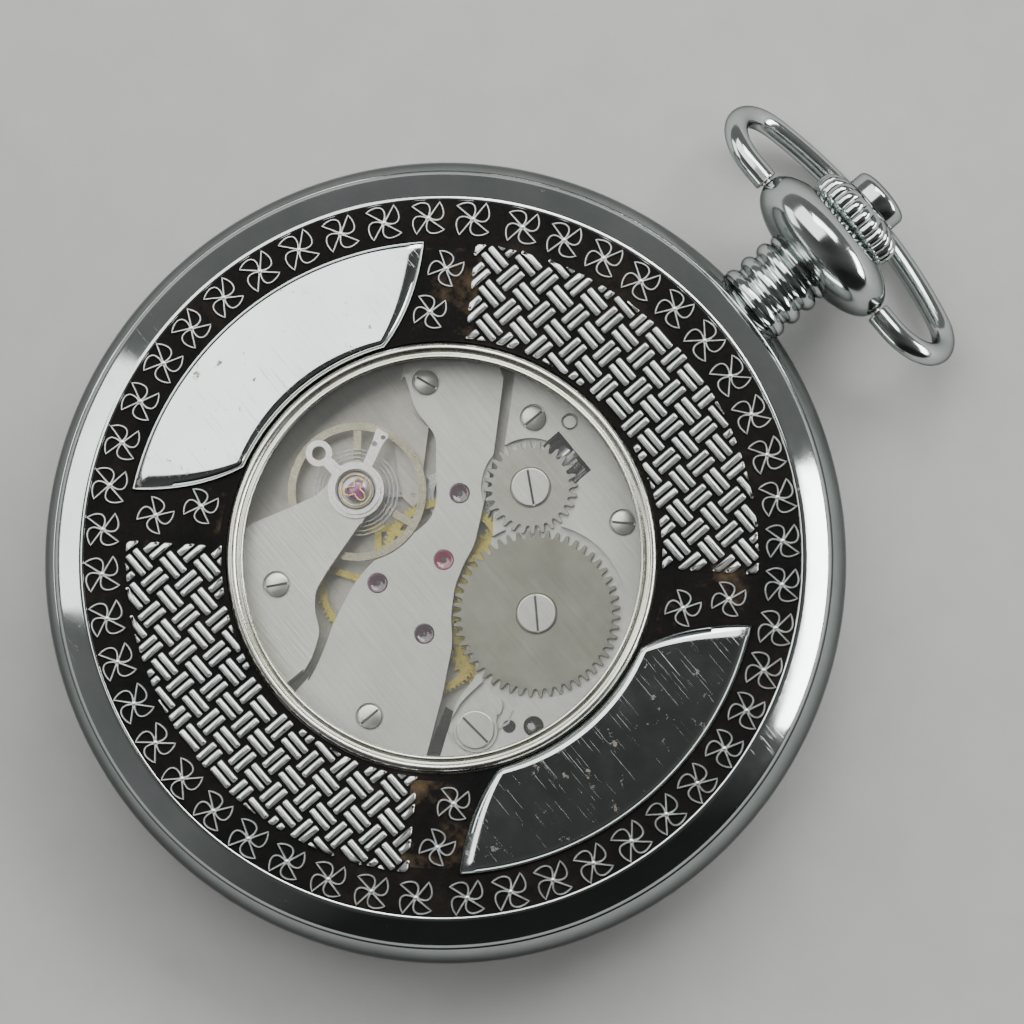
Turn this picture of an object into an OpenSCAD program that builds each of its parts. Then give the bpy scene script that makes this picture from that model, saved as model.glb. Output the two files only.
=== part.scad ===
// Hunter pocket watch with a display back, lying on its closed front lid.
// Row frame: origin at the centre of the lid's flat outer face, +Z towards the rear cover,
// +Y towards the pendant, +X to the right when the rear cover is faced with the pendant up.

/* [Case] */
// Largest radius of the case middle
case_r = 23.5; // [23.3:0.1:23.8]
// Radius at the seams with the lid and the rear cover
seam_r = 22.6; // [22.5:0.05:22.7]
// Inner radius of the case middle
case_inner_r = 20.6; // [20.5:0.1:20.8]
// Level of the seam between lid and case middle
lid_seam_z = 2.6; // [2.6:0.05:2.7]
// Level of the seam between case middle and rear cover
rear_seam_z = 10.4; // [10.3:0.05:10.6]
// Wall of the lid
lid_wall = 0.6; // [0.5:0.05:0.6]
// Radius of the flat face of the lid
lid_flat_r = 17; // [16:0.5:17.5]

/* [Rear cover] */
// Outer radius of the dark decorated field
field_r = 20.9; // [20.7:0.1:21]
// Outer radius of the four panels
panel_outer_r = 18.3; // [18:0.1:18.5]
// Inner radius of the four panels
panel_inner_r = 12.66; // [12.6:0.02:12.8]
// Radius of the rear window opening
window_r = 11.5; // [11.2:0.1:11.6]
// Top level of the decorated field at the window
field_z = 12; // [11.9:0.05:12.1]

/* [Pendant and bow] */
// Height of the stem, pendant and bow axis
stem_z = 6.8; // [6.7:0.05:6.9]
// Distance of the bow pivots from the case centre
bow_y = 28.8; // [28.7:0.1:28.9]
// Radius of the round bulb of the pendant
bulb_r = 4.95; // [4.8:0.05:5]
// Radius of the bow wire
bow_wire_r = 0.72; // [0.6:0.02:0.75]
// Height of the bow wire's centreline above its pivots
bow_height = 7.1; // [6.8:0.05:7.1]
// Half width of the bow, to the wire's centreline
bow_half_w = 9.05; // [8.8:0.05:9.2]
// Angle at which the bow hangs down from the pendant axis
bow_hang = 58.6; // [40:0.2:58.6]
// Crown radius
crown_r = 3.15; // [3:0.05:3.2]
// Flutes around the crown
crown_flutes = 24; // [20:1:28]

/* [Movement] */
// Radius of the main plate
plate_r = 13; // [13:0.1:13.2]
// Top of the main plate
plate_z = 6.6; // [6.5:0.05:6.6]
// Underside of the bridges
bridge_z0 = 8.1; // [8.1:0.02:8.14]
// Top of the bridges
bridge_z1 = 9; // [9:0.05:9.1]
// Radius of the balance wheel
balance_r = 4.05; // [3.8:0.05:4.1]

/* [Hidden] */
// Centres of the wheels, seen from the back
centre = [0, 0];
escape_c = [-2.39, 3.2];
third_c = [-1.44, -3.82];
second_c = [2.58, -3.63];
barrel_c = [5.87, 2.14];
crown_c = [0, 6.6];
pallet_c = [-4.14, 1.06];
balance_c = [-6.34, -1.32];
click_c = [8.79, -4.94];
minute_c = [0, -2.4];
stud_c = [-9.35, -1.6];
cock_screw_c = [-5.06, -8.4];
bridge_screw_c = [[-8.63, 5.85], [4.25, -9.18], [-2.98, 9.33], [5.06, 9.39]];

// Modules of the gear meshes, from centre distance and teeth
winding_m = 2 * norm(barrel_c - crown_c) / (28 + 51);
barrel_m = 2 * norm(barrel_c - second_c) / (78 + 12);
second_m = 2 * norm(second_c - third_c) / (80 + 10);
third_m = 2 * norm(third_c - centre) / (75 + 10);
fourth_m = 2 * norm(escape_c - centre) / (84 + 7);
motion_m = 2 * norm(minute_c) / (12 + 36);
hour_m = 2 * norm(minute_c) / (10 + 40);
escape_r = norm(pallet_c - escape_c) * cos(30);

case_mid_z = (lid_seam_z + rear_seam_z) / 2;
case_bulge = case_r - seam_r;
case_half_h = (rear_seam_z - lid_seam_z) / 2;
case_arc_r = (pow(case_half_h, 2) + pow(case_bulge, 2)) / (2 * case_bulge);
bezel_seat_r = 21.4;
bezel_seat_z = 2.9;
hinge_y = -seam_r;
hinge_z = lid_seam_z - 0.05;
hinge_r = 0.7;
hinge_pin_r = 0.3;
hinge_half = 3.6;
knuckle_half = 1.4;
running = 0.04;
rear_inner_r = 12.5;
stem_r = 0.45;
stem_tube_r = 0.95;
crown_tube_r = 1.6;
rod_r = 0.48;
button_travel = 0.7;
crown_y = 30.3;
button_y = 32.05;
button_r = 1.85;
crown_travel = 0.9;
catch_y = 19.66;
catch_t = 0.42;
cross_pin_r = 0.18;
ratchet_z = 8.5;
recess_z = 8.45;
winding_t = 0.4;

$fn = 72;

// ---------- shared shapes ----------

// Angle of the direction from point a to point b
function heading(a, b) = atan2(b[1] - a[1], b[0] - a[0]);

// Lays a shape drawn along +Z onto the stem axis, along +Y
module on_stem_axis() {
    translate([0, 0, stem_z]) rotate([-90, 0, 0]) children();
}

module disc(c, z0, z1, r) {
    translate([c[0], c[1], z0]) cylinder(h = z1 - z0, r = r);
}

module ring(z0, z1, r0, r1) {
    difference() {
        translate([0, 0, z0]) cylinder(h = z1 - z0, r = r1);
        translate([0, 0, z0 - 1]) cylinder(h = z1 - z0 + 2, r = r0);
    }
}

// Outline of a toothed wheel: a tooth stands at each multiple of 360 / teeth from phase
module toothed(teeth, m, phase, tip = 0.75, root = 1.1, tooth = 0.4) {
    pitch_r = teeth * m / 2;
    step = 360 / teeth;
    polygon([
        for (i = [0 : teeth - 1])
            for (p = [[-tooth / 2 - 0.08, -root], [-0.12, tip], [0.12, tip], [tooth / 2 + 0.08, -root]])
                let (a = phase + (i + p[0]) * step, r = pitch_r + p[1] * m) [r * cos(a), r * sin(a)]
    ]);
}

// A train wheel with a rim, a hub and spokes
module spoked(teeth, m, phase, spokes, t) {
    rim_r = teeth * m / 2 - 2.6 * m - 0.25;
    linear_extrude(t) {
        difference() {
            toothed(teeth, m, phase);
            circle(r = rim_r);
        }
        circle(r = 0.7);
        for (i = [0 : spokes - 1])
            rotate(phase + i * 360 / spokes) translate([0, -0.2]) square([rim_r + 0.05, 0.4]);
    }
}

// A pinion on its arbor
module pinion(teeth, m, phase, z0, z1) {
    translate([0, 0, z0]) linear_extrude(z1 - z0) toothed(teeth, m, phase, 0.65, 1, 0.34);
}

// A slotted screw with its head on top
module slotted_screw(c, head_r, shank_r, z_tip, z_head, z_top, slot_angle) {
    translate([c[0], c[1], 0]) difference() {
        union() {
            translate([0, 0, z_head]) cylinder(h = z_top - z_head, r = head_r);
            translate([0, 0, z_tip]) cylinder(h = z_head - z_tip + 0.01, r = shank_r);
        }
        rotate(slot_angle) translate([-head_r - 1, -0.14, z_top - 0.13]) cube([2 * head_r + 2, 0.28, 1]);
    }
}

// ---------- case ----------

module case_middle() {
    color("silver") difference() {
        union() {
            rotate_extrude() {
                intersection() {
                    translate([case_r - case_arc_r, case_mid_z]) circle(r = case_arc_r, $fn = 180);
                    translate([case_inner_r, lid_seam_z])
                        square([case_r - case_inner_r + 1, rear_seam_z - lid_seam_z]);
                }
                translate([18, 9.35]) square([case_inner_r - 17.9, 0.55]);
            }
            for (side = [-1, 1])
                translate([side > 0 ? knuckle_half + 0.1 : -hinge_half, hinge_y, hinge_z])
                    rotate([0, 90, 0]) cylinder(h = hinge_half - knuckle_half - 0.1, r = hinge_r);
        }
        translate([-knuckle_half - running, hinge_y, hinge_z]) rotate([0, 90, 0])
            cylinder(h = 2 * (knuckle_half + running), r = hinge_r + 0.08);
        translate([-hinge_half - 1, hinge_y, hinge_z]) rotate([0, 90, 0])
            cylinder(h = 2 * hinge_half + 2, r = hinge_pin_r);
        on_stem_axis() {
            translate([0, 0, 19]) cylinder(h = 6, r = crown_tube_r + running);
            translate([0, 0, 22.45]) cylinder(h = 3, r = 2.3);
        }
        translate([-1.4, 19, lid_seam_z - 1]) cube([2.8, 2.95, 3.2]);
        disc(centre, lid_seam_z - 1, bezel_seat_z + 0.02, bezel_seat_r + 0.02);
    }
}

// A ring sector between two radii, centred on +Y
module sector(r0, r1, half_angle) {
    intersection() {
        difference() {
            circle(r = r1, $fn = 120);
            circle(r = r0, $fn = 120);
        }
        polygon([[0, 0], [-40 * sin(half_angle), 40 * cos(half_angle)], [0, 60],
                 [40 * sin(half_angle), 40 * cos(half_angle)]]);
    }
}

module rear_cover() {
    color("dimgray") {
        difference() {
            rotate_extrude($fn = 144)
                polygon([[seam_r - 0.05, rear_seam_z], [seam_r - 0.05, 10.8], [21.4, 11.72],
                         [field_r, 11.86], [rear_inner_r, field_z], [rear_inner_r, 11.2],
                         [20.2, 11.05], [20.5, rear_seam_z]]);
        }
        translate([0, 0, 11.8]) linear_extrude(0.45) for (turn = [0, 180]) rotate(turn)
            sector(panel_inner_r, panel_outer_r, 43.5);
        translate([0, 0, 11.8]) linear_extrude(0.5) for (turn = [0, 180]) rotate(turn)
            sector_panel();
    }
}

// The polished panel trimmed to the window's inner arc
module sector_panel() {
    difference() {
        polygon(concat(
            [for (a = [-37 : 3.7 : 37]) [-panel_outer_r * cos(a), panel_outer_r * sin(a)]],
            [for (a = [21, 14, 7, 0, -7, -14, -21]) [-panel_inner_r * cos(a), panel_inner_r * sin(a)]]
        ));
        circle(r = panel_inner_r - 0.05);
    }
}

module window_ring() {
    color("silver") rotate_extrude($fn = 144)
        polygon([[window_r, 12.1], [window_r, 12.25], [11.9, 12.5], [12.35, 12.3],
                 [rear_inner_r - 0.02, 11.9], [rear_inner_r - 0.02, 11.25], [11.95, 11.25], [11.95, 12.1]]);
}

module rear_crystal() {
    color([0.8, 0.9, 0.9, 0.3]) disc(centre, 11.4, 12.08, 11.93, $fn = 144);
}

module front_bezel() {
    color("silver") rotate_extrude($fn = 144)
        polygon([[18.3, 1.45], [19.6, 1.8], [bezel_seat_r, lid_seam_z], [bezel_seat_r, bezel_seat_z],
                 [20.55, bezel_seat_z], [20.4, 3.2], [19.2, 3.2], [19.2, 1.95], [18.3, 1.95]]);
}

module front_crystal() {
    color([0.8, 0.9, 0.9, 0.3]) disc(centre, 1.97, 2.45, 19.18, $fn = 144);
}

module front_cover() {
    color("silver") difference() {
        union() {
            rotate_extrude($fn = 144)
                polygon([[0, 0], [lid_flat_r, 0], [seam_r, 2], [seam_r, lid_seam_z - 0.1],
                         [21.95, lid_seam_z - 0.1], [21.9, 2.35], [lid_flat_r - 0.2, lid_wall],
                         [0, lid_wall]]);
            translate([-knuckle_half, hinge_y, hinge_z]) rotate([0, 90, 0])
                cylinder(h = 2 * knuckle_half, r = hinge_r);
        }
        for (side = [-1, 1])
            translate([side > 0 ? knuckle_half + 0.02 : -hinge_half - 0.1, hinge_y, hinge_z])
                rotate([0, 90, 0]) cylinder(h = hinge_half - knuckle_half + 0.08, r = hinge_r + 0.08);
        translate([-hinge_half, hinge_y, hinge_z]) rotate([0, 90, 0])
            cylinder(h = 2 * hinge_half, r = hinge_pin_r + running);
    }
}

module hinge_pin() {
    color("gray") translate([-hinge_half, hinge_y, hinge_z]) rotate([0, 90, 0])
        cylinder(h = 2 * hinge_half, r = hinge_pin_r);
}

module lift_spring() {
    color("steelblue") intersection() {
        ring(4.4, 6, 20.2, 20.5, $fn = 144);
        translate([-16, -25, 0]) cube([32, 12, 10]);
    }
}

module lid_catch() {
    nose_y = 21.45;
    arm_z = 3.4;
    color("steelblue") difference() {
        union() {
            on_stem_axis() translate([0, 0, catch_y]) cylinder(h = catch_t, r = 2);
            translate([-1, catch_y, arm_z]) cube([2, catch_t, stem_z - arm_z - 1.2]);
            translate([-1, catch_y, arm_z]) cube([2, nose_y + 0.35 - catch_y, 0.4]);
            translate([-1, nose_y, arm_z - 0.4]) cube([2, 0.35, 0.5]);
        }
        on_stem_axis() translate([0, 0, catch_y - 1]) cylinder(h = catch_t + 2, r = stem_tube_r + 0.1);
    }
}

// ---------- pendant, crown and bow ----------

module pendant() {
    rib_r = 0.52;
    rib_pitch = 1.2;
    neck_y = 22.47;
    bulb_c = 28.85;
    bulb_half = 2.05;
    bulb_power = 0.85;
    color("silver") difference() {
        on_stem_axis() {
            translate([0, 0, neck_y]) cylinder(h = 5.5, r = 1.98);
            translate([0, 0, neck_y]) cylinder(h = 1.1, r = 2.28);
            rotate_extrude() {
                for (i = [0 : 2])
                    translate([1.9, 23.65 + i * rib_pitch]) circle(r = rib_r, $fn = 32);
                translate([1.95, 26.95]) circle(r = 0.35, $fn = 32);
            }
            rotate_extrude($fn = 96)
                polygon(concat(
                    [[0, 27.1]],
                    [for (a = [-70 : 10 : 40])
                        [bulb_r * pow(cos(a), bulb_power),
                         bulb_c + bulb_half * sign(sin(a)) * pow(abs(sin(a)), bulb_power)]],
                    [[3.5, 30.5], [3.2, 30.52], [2.9, 30.3], [2.5, 30.2], [0, 30.2]]));
        }
        on_stem_axis() translate([0, 0, 20]) cylinder(h = 12, r = crown_tube_r + running);
        translate([-10, bow_y, stem_z]) rotate([0, 90, 0]) cylinder(h = 5.9, r = 0.38);
        translate([4.1, bow_y, stem_z]) rotate([0, 90, 0]) cylinder(h = 5.9, r = 0.38);
    }
}

module crown() {
    color("silver") difference() {
        on_stem_axis() {
            rotate_extrude()
                polygon([[0, crown_y], [1.9, crown_y], [2.6, crown_y + 0.14],
                         [crown_r - 0.2, crown_y + 0.45], [crown_r - 0.12, crown_y + 0.65],
                         [crown_r - 0.12, crown_y + 1.5], [crown_r - 0.2, crown_y + 1.75],
                         [2.65, crown_y + 2.05], [2.1, crown_y + 2.18], [0, crown_y + 2.18]]);
            translate([0, 0, crown_y + 0.5]) linear_extrude(1.2)
                for (i = [0 : crown_flutes - 1]) rotate(i * 360 / crown_flutes)
                    translate([crown_r - 0.18, 0]) circle(r = 0.18, $fn = 16);
        }
        on_stem_axis() {
            translate([0, 0, crown_y + 0.95]) cylinder(h = 3, r = button_r + 0.06);
            translate([0, 0, crown_y - 1]) cylinder(h = 3, r = rod_r + running);
        }
    }
}

module crown_tube() {
    color("gray") on_stem_axis() difference() {
        translate([0, 0, 23.1]) cylinder(h = crown_y - 23.12, r = crown_tube_r);
        translate([0, 0, 20]) cylinder(h = 12, r = stem_tube_r + running);
    }
}

module push_button() {
    color("silver") on_stem_axis() rotate_extrude()
        polygon([[0, button_y], [button_r, button_y], [button_r, 33.3], [button_r - 0.22, 33.6],
                 [button_r - 0.65, 33.76], [0.5, 33.84], [0, 33.85]]);
}

module button_rod() {
    color("gray") {
        on_stem_axis() translate([0, 0, 20]) cylinder(h = button_y - 20.02, r = rod_r);
        translate([-1.55, catch_y + catch_t + cross_pin_r + 0.04, stem_z]) rotate([0, 90, 0])
            cylinder(h = 3.1, r = cross_pin_r);
    }
}

// One wire arc of the bow, in the plane of the bow
module bow_arc(c, r, from, to, wire_r) {
    translate([c[0], c[1], 0]) rotate(from)
        rotate_extrude(angle = to - from, $fn = 120) translate([r, 0]) circle(r = wire_r, $fn = 32);
}

// The round corners are a hair thicker than the stretches that run into them
module bow() {
    corner_r = 2.8;
    corner_x = bow_half_w - corner_r;
    drop = (pow(corner_x, 2) + pow(corner_r, 2) - pow(bow_height - corner_r, 2))
        / (2 * corner_r - 2 * (bow_height - corner_r));
    lean = atan2(corner_r - drop, corner_x);
    top_r = bow_height - drop;
    run_in = 0.1;
    run_in_angle = run_in / top_r * 180 / PI;
    thin_r = bow_wire_r - 0.02;
    arm_end = 5.05;
    bore_end = 6.35;
    color("silver") difference() {
        translate([0, bow_y, stem_z]) rotate([-bow_hang, 0, 0]) {
            bow_arc([0, drop], top_r, lean - run_in_angle, 180 - lean + run_in_angle, thin_r);
            bow_arc([corner_x, corner_r], corner_r, -90, lean, bow_wire_r);
            bow_arc([-corner_x, corner_r], corner_r, 180 - lean, 270, bow_wire_r);
            for (side = [-1, 1])
                translate([side > 0 ? arm_end : -corner_x - run_in, 0, 0]) rotate([0, 90, 0])
                    cylinder(h = corner_x + run_in - arm_end, r = thin_r);
        }
        for (side = [-1, 1])
            translate([side > 0 ? arm_end - 0.1 : -bore_end, bow_y, stem_z]) rotate([0, 90, 0])
                cylinder(h = bore_end - arm_end + 0.1, r = 0.38 + running);
    }
}

module bow_pins() {
    color("gray") for (side = [-1, 1])
        translate([side > 0 ? 4.1 : -6.3, bow_y, stem_z]) rotate([0, 90, 0])
            cylinder(h = 2.2, r = 0.38);
}

// ---------- dial side ----------

module dial() {
    color("ivory") ring(3.7, 4.1, 1.2, 18.8, $fn = 144);
}

// A pointer with a hub, along +X from the centre before it is turned
module pointer(z0, z1, length, base_w, tail, hub_r, bore_r) {
    difference() {
        translate([0, 0, z0]) linear_extrude(z1 - z0) union() {
            polygon([[-tail, -base_w / 2], [-tail, base_w / 2], [length * 0.75, base_w / 2],
                     [length, 0], [length * 0.75, -base_w / 2]]);
            circle(r = hub_r);
        }
        translate([0, 0, z0 - 1]) cylinder(h = 3, r = bore_r);
    }
}

module hour_hand() {
    color("midnightblue") rotate(145) pointer(3.22, 3.36, 9.4, 1, 0.6, 1.3, 0.95);
}

module minute_hand() {
    color("midnightblue") rotate(30) pointer(2.94, 3.06, 14.6, 0.8, 0.4, 0.95, 0.6);
}

module seconds_hand() {
    color("midnightblue") {
        rotate(-80) pointer(2.62, 2.72, 15.6, 0.25, 4, 0.5, 0.2);
        ring(2.62, 2.86, 0.2, 0.4);
    }
}

module hour_wheel() {
    color("goldenrod") difference() {
        union() {
            disc(centre, 3.22, 4.6, 0.95);
            translate([0, 0, 4.3]) linear_extrude(0.2)
                toothed(40, hour_m, heading(centre, minute_c));
        }
        disc(centre, 3, 5, 0.64);
    }
}

module cannon_pinion() {
    color("gray") difference() {
        union() {
            disc(centre, 2.94, 5.35, 0.6);
            pinion(12, motion_m, heading(centre, minute_c), 4.75, 5.15);
        }
        disc(centre, 2, 6, 0.3);
    }
}

module minute_wheel() {
    color("goldenrod") translate([minute_c[0], minute_c[1], 0]) difference() {
        union() {
            translate([0, 0, 4.8]) linear_extrude(0.2)
                toothed(36, motion_m, heading(minute_c, centre) + 5);
            pinion(10, hour_m, heading(minute_c, centre) + 18, 4.25, 4.8);
        }
        translate([0, 0, 4]) cylinder(h = 2, r = 0.24);
    }
}

// ---------- movement frame ----------

module main_plate() {
    color("lightgray") difference() {
        union() {
            disc(centre, 4.15, plate_z, plate_r, $fn = 120);
            disc(minute_c, 4.2, 5.5, 0.2);
        }
        difference() {
            disc(centre, 4, 5.4, 12.2, $fn = 120);
            disc(minute_c, 4, 5.5, 0.2);
        }
        translate([-1.45, 8.5, 5]) cube([2.9, 1.7, 3]);
        on_stem_axis() translate([0, 0, 7.7]) cylinder(h = 6, r = stem_r + 0.05);
        for (c = [second_c, third_c, escape_c, pallet_c, balance_c])
            translate([c[0], c[1], 4]) cylinder(h = 4, r = 0.2);
        disc(centre, 4, 8, 0.3);
        disc(barrel_c, 4, 8, 0.55);
    }
}

module movement_ring() {
    color("gray") difference() {
        ring(4.15, 9.3, plate_r + 0.02, 18.85, $fn = 144);
        on_stem_axis() translate([0, 0, 12]) cylinder(h = 8, r = 1.1);
    }
}

// Edge shared by the train bridge and the barrel bridge
train_edge = [[-6.25, 9.85], [-4.35, 7.8], [-2.7, 6], [-0.75, 3.55], [0.5, 1.9], [0.9, 0.8], [1.6, -0.5],
              [2.8, -1.8], [4.1, -2.75], [5.1, -4], [6, -5.1], [8.35, -8.4]];
train_left_edge = [[-1.35, -7.2], [-2.3, -4.9], [-2.6, -3.2], [-2.3, -0.5], [-2.3, 0.95], [-2.9, 1.9],
                   [-4.6, 3.25], [-5.85, 4.35], [-7.85, 4.55], [-9.8, 5.55]];
barrel_edge = [[-5.9, 10.4], [-3.9, 8.2], [-2.3, 6.4], [-1.5, 5.3], [-0.2, 3.9], [0.7, 3.2],
               [1.9, 1.4], [2.7, -0.9], [4.7, -2.3], [6.35, -2.6], [6.8, -4.7], [9, -8]];

// Everything inside the bridge rim
module rim_disc() {
    circle(r = 12.3, $fn = 120);
}

module train_outline() {
    intersection() {
        rim_disc();
        polygon(concat(train_edge, [[10, -10.4], [2, -13], [0.4, -12.6], [0.45, -10.8], [0, -9.6],
                                    [-0.7, -8.3]], train_left_edge, [[-12, 6.6], [-9, 10]]));
    }
}

module barrel_outline() {
    intersection() {
        rim_disc();
        polygon(concat(barrel_edge, [[11, -10], [16, 0], [10, 14], [-4, 14], [-6.6, 11.4]]));
    }
}

// Rim wall that carries a bridge on the main plate
module bridge_foot(from, to) {
    intersection() {
        ring(plate_z, bridge_z0 + 0.01, 11.6, 12.28, $fn = 120);
        linear_extrude(20) polygon(concat([[0, 0]],
            [for (i = [0 : 6]) let (a = from + (to - from) * i / 6) [30 * cos(a), 30 * sin(a)]]));
    }
}

module train_bridge() {
    color("gainsboro") difference() {
        union() {
            translate([0, 0, bridge_z0]) linear_extrude(bridge_z1 - bridge_z0) train_outline();
            bridge_foot(126, 146);
            bridge_foot(274, 306);
        }
        for (c = [centre, second_c, third_c, escape_c]) {
            disc(c, 8, 10, 0.6);
        }
        for (c = [bridge_screw_c[0], bridge_screw_c[1]]) {
            disc(c, 8, 10, 0.5);
            disc(c, 8.6, 10, 0.8);
        }
        disc(balance_c, 7, bridge_z1 + 1, balance_r + 0.1);
        disc(crown_c, recess_z, 10, 2.88);
    }
}

module barrel_bridge() {
    color("gainsboro") difference() {
        union() {
            translate([0, 0, bridge_z0]) linear_extrude(bridge_z1 - bridge_z0) barrel_outline();
            bridge_foot(-30, 76);
            bridge_foot(100, 112);
        }
        disc(barrel_c, plate_z - 1, 7.6, 6.1);
        disc(barrel_c, recess_z, 10, 5);
        disc(barrel_c, 8, 10, 0.75);
        disc(crown_c, recess_z, 10, 2.88);
        disc(crown_c, 8, 10, 0.5);
        translate([-1.45, 8.7, 6]) cube([2.95, 1.25, 4]);
        on_stem_axis() translate([0, 0, 7.7]) cylinder(h = 6, r = 1);
        disc(click_c, 8.6, 10, 1.56);
        disc(click_c, 8, 10, 0.5);
        for (c = [bridge_screw_c[2], bridge_screw_c[3]]) {
            disc(c, 8, 10, 0.5);
            disc(c, 8.6, 10, 0.8);
        }
        disc([-1.46, 10.8], 8, 10, 0.53);
        disc([10.8, -2.2], 8, 10, 0.6);
        disc([9.88, -3.3], 8, 10, 0.4);
        translate([7.6, -4.2, recess_z]) linear_extrude(2)
            polygon([[-0.8, 2.8], [1.6, 2.2], [2.4, 0.2], [2, -2], [0.2, -2.2], [-0.6, -0.4]]);
    }
}

module balance_cock() {
    color("gainsboro") difference() {
        union() {
            translate([0, 0, 9.15]) linear_extrude(0.75) intersection() {
                rim_disc();
                union() {
                    translate(balance_c) circle(r = 1.9);
                    polygon([[-4.75, -2.15], [-4.3, -3.8], [-3.85, -5.45], [-3.35, -6.9], [-2.6, -7.6],
                             [-1.35, -8.2], [-0.5, -9.5], [-0.1, -10.65], [-0.2, -13], [-10, -9],
                             [-8.6, -6.75], [-8.1, -5.15], [-7.6, -3.3], [-7.9, -2], [-6, -1]]);
                }
            }
            translate([0, 0, plate_z]) linear_extrude(2.56) intersection() {
                rim_disc();
                polygon([[-4.2, -6.6], [-3.4, -7.1], [-2.6, -7.8], [-1.4, -8.4], [-0.6, -9.6],
                         [-0.25, -10.65], [-0.3, -13], [-10, -9], [-8.8, -7]]);
            }
        }
        disc(balance_c, 9, 12, 1.12);
        disc(cock_screw_c, 9.5, 12, 0.8);
        disc(cock_screw_c, 8, 12, 0.5);
        disc(balance_c, 7, 9.1, balance_r + 0.25);
        disc(third_c, 6.5, 7.6, 4);
    }
}

module pallet_cock() {
    color("gainsboro") difference() {
        translate([0, 0, 7.55]) linear_extrude(0.25) polygon([[-3.6, 0.6], [-3.6, 1.5], [-4.4, 1.9],
            [-6.6, 4.3], [-8, 4], [-8.2, 2.8], [-5.2, 0.9], [-4.4, 0.5]]);
        disc(pallet_c, 7, 8, 0.12);
    }
    color("gainsboro") translate([0, 0, plate_z]) linear_extrude(0.96)
        polygon([[-6.6, 4.3], [-8, 4], [-8.2, 2.8], [-7, 2.4], [-6.3, 3.4]]);
}

// ---------- winding and power ----------

module barrel() {
    mesh_phase = heading(barrel_c, second_c);
    color("goldenrod") translate([barrel_c[0], barrel_c[1], 0]) difference() {
        union() {
            translate([0, 0, 6.7]) linear_extrude(0.3) toothed(78, barrel_m, mesh_phase);
            translate([0, 0, 6.7]) cylinder(h = 0.75, r = 5.2);
        }
        translate([0, 0, 6.85]) cylinder(h = 0.48, r = 4.9);
        translate([0, 0, 6]) cylinder(h = 2, r = 0.75);
    }
}

module barrel_arbor() {
    color("gray") translate([barrel_c[0], barrel_c[1], 0]) {
        translate([0, 0, 5.5]) cylinder(h = 2.95, r = 0.5);
        translate([0, 0, 6.9]) cylinder(h = 0.35, r = 1.2);
    }
}

// Spiral strip between two radii
module spiral_strip(r0, r1, turns, width, steps) {
    function spiral(t, side) = let (a = 360 * turns * t, r = r0 + (r1 - r0) * t + side * width / 2)
        [r * cos(a), r * sin(a)];
    polygon(concat(
        [for (i = [0 : steps]) spiral(i / steps, 1)],
        [for (i = [steps : -1 : 0]) spiral(i / steps, -1)]));
}

module mainspring() {
    color("steelblue") translate([barrel_c[0], barrel_c[1], 6.9]) linear_extrude(0.36)
        spiral_strip(1.45, 4.75, 7, 0.12, 168);
}

module ratchet_wheel() {
    color("lightgray") translate([barrel_c[0], barrel_c[1], ratchet_z]) difference() {
        linear_extrude(winding_t) toothed(51, winding_m, heading(barrel_c, crown_c) + 180 / 51, 0.7, 1.1);
        translate([0, 0, -1]) cylinder(h = 3, r = 0.4);
    }
}

module ratchet_screw() {
    color("silver") slotted_screw(barrel_c, 1.15, 0.4, ratchet_z, ratchet_z + winding_t, 9.2, -35);
}

module crown_wheel() {
    color("lightgray") translate([crown_c[0], crown_c[1], ratchet_z]) difference() {
        linear_extrude(winding_t) toothed(28, winding_m, heading(crown_c, barrel_c), 0.7, 1.1);
        translate([0, 0, -1]) cylinder(h = 3, r = 0.54);
    }
}

module crown_wheel_screw() {
    color("silver") slotted_screw(crown_c, 1.13, 0.5, 8.12, ratchet_z + winding_t + 0.03, 9.2, -30);
}

module click() {
    color("lightgray") difference() {
        union() {
            disc(click_c, 8.62, 8.84, 1.3);
            translate([0, 0, 8.62]) linear_extrude(0.22)
                polygon([[7.7, -4.6], [8, -3.4], [7.6, -2.98], [8.3, -2.55], [8.75, -2.72],
                         [9.1, -3.4], [9.2, -4.2]]);
        }
        disc(click_c, 8, 10, 0.54);
        disc(barrel_c, 8, 10, 5);
    }
}

module click_screw() {
    color("silver") slotted_screw(click_c, 1.13, 0.5, 8.12, 8.87, 9.15, 5);
}

module click_spring() {
    color("steelblue") translate([0, 0, 8.5]) linear_extrude(0.1)
        polygon([[9.5, -3.9], [9.62, -3.9], [9.75, -3.2], [9.35, -2.45], [9.25, -2.5], [9.6, -3.2]]);
}

module stem() {
    color("gray") on_stem_axis() difference() {
        union() {
            translate([0, 0, 7.9]) cylinder(h = 7.7, r = stem_r);
            translate([0, 0, 15.5]) cylinder(h = 9, r = stem_tube_r);
        }
        translate([0, 0, 18.8]) cylinder(h = 8, r = rod_r + running);
        translate([-2, -cross_pin_r - running, 19.1]) cube([4, 2 * (cross_pin_r + running), 2.9]);
    }
}

module winding_pinion() {
    teeth = 14;
    color("gray") on_stem_axis() difference() {
        translate([0, 0, 8.8]) linear_extrude(0.95) toothed(teeth, 2 * 1.15 / teeth, 0, 1, 1.2);
        translate([0, 0, 8]) cylinder(h = 3, r = stem_r);
    }
}

// ---------- going train ----------

module second_wheel() {
    color("goldenrod") translate([second_c[0], second_c[1], 0]) {
        translate([0, 0, 7.55])
            spoked(80, second_m, heading(second_c, third_c), 5, 0.18);
        pinion(12, barrel_m, heading(second_c, barrel_c) + 15, 6.7, 7.1);
        translate([0, 0, 6.1]) cylinder(h = 2.5, r = 0.18);
    }
}

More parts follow.
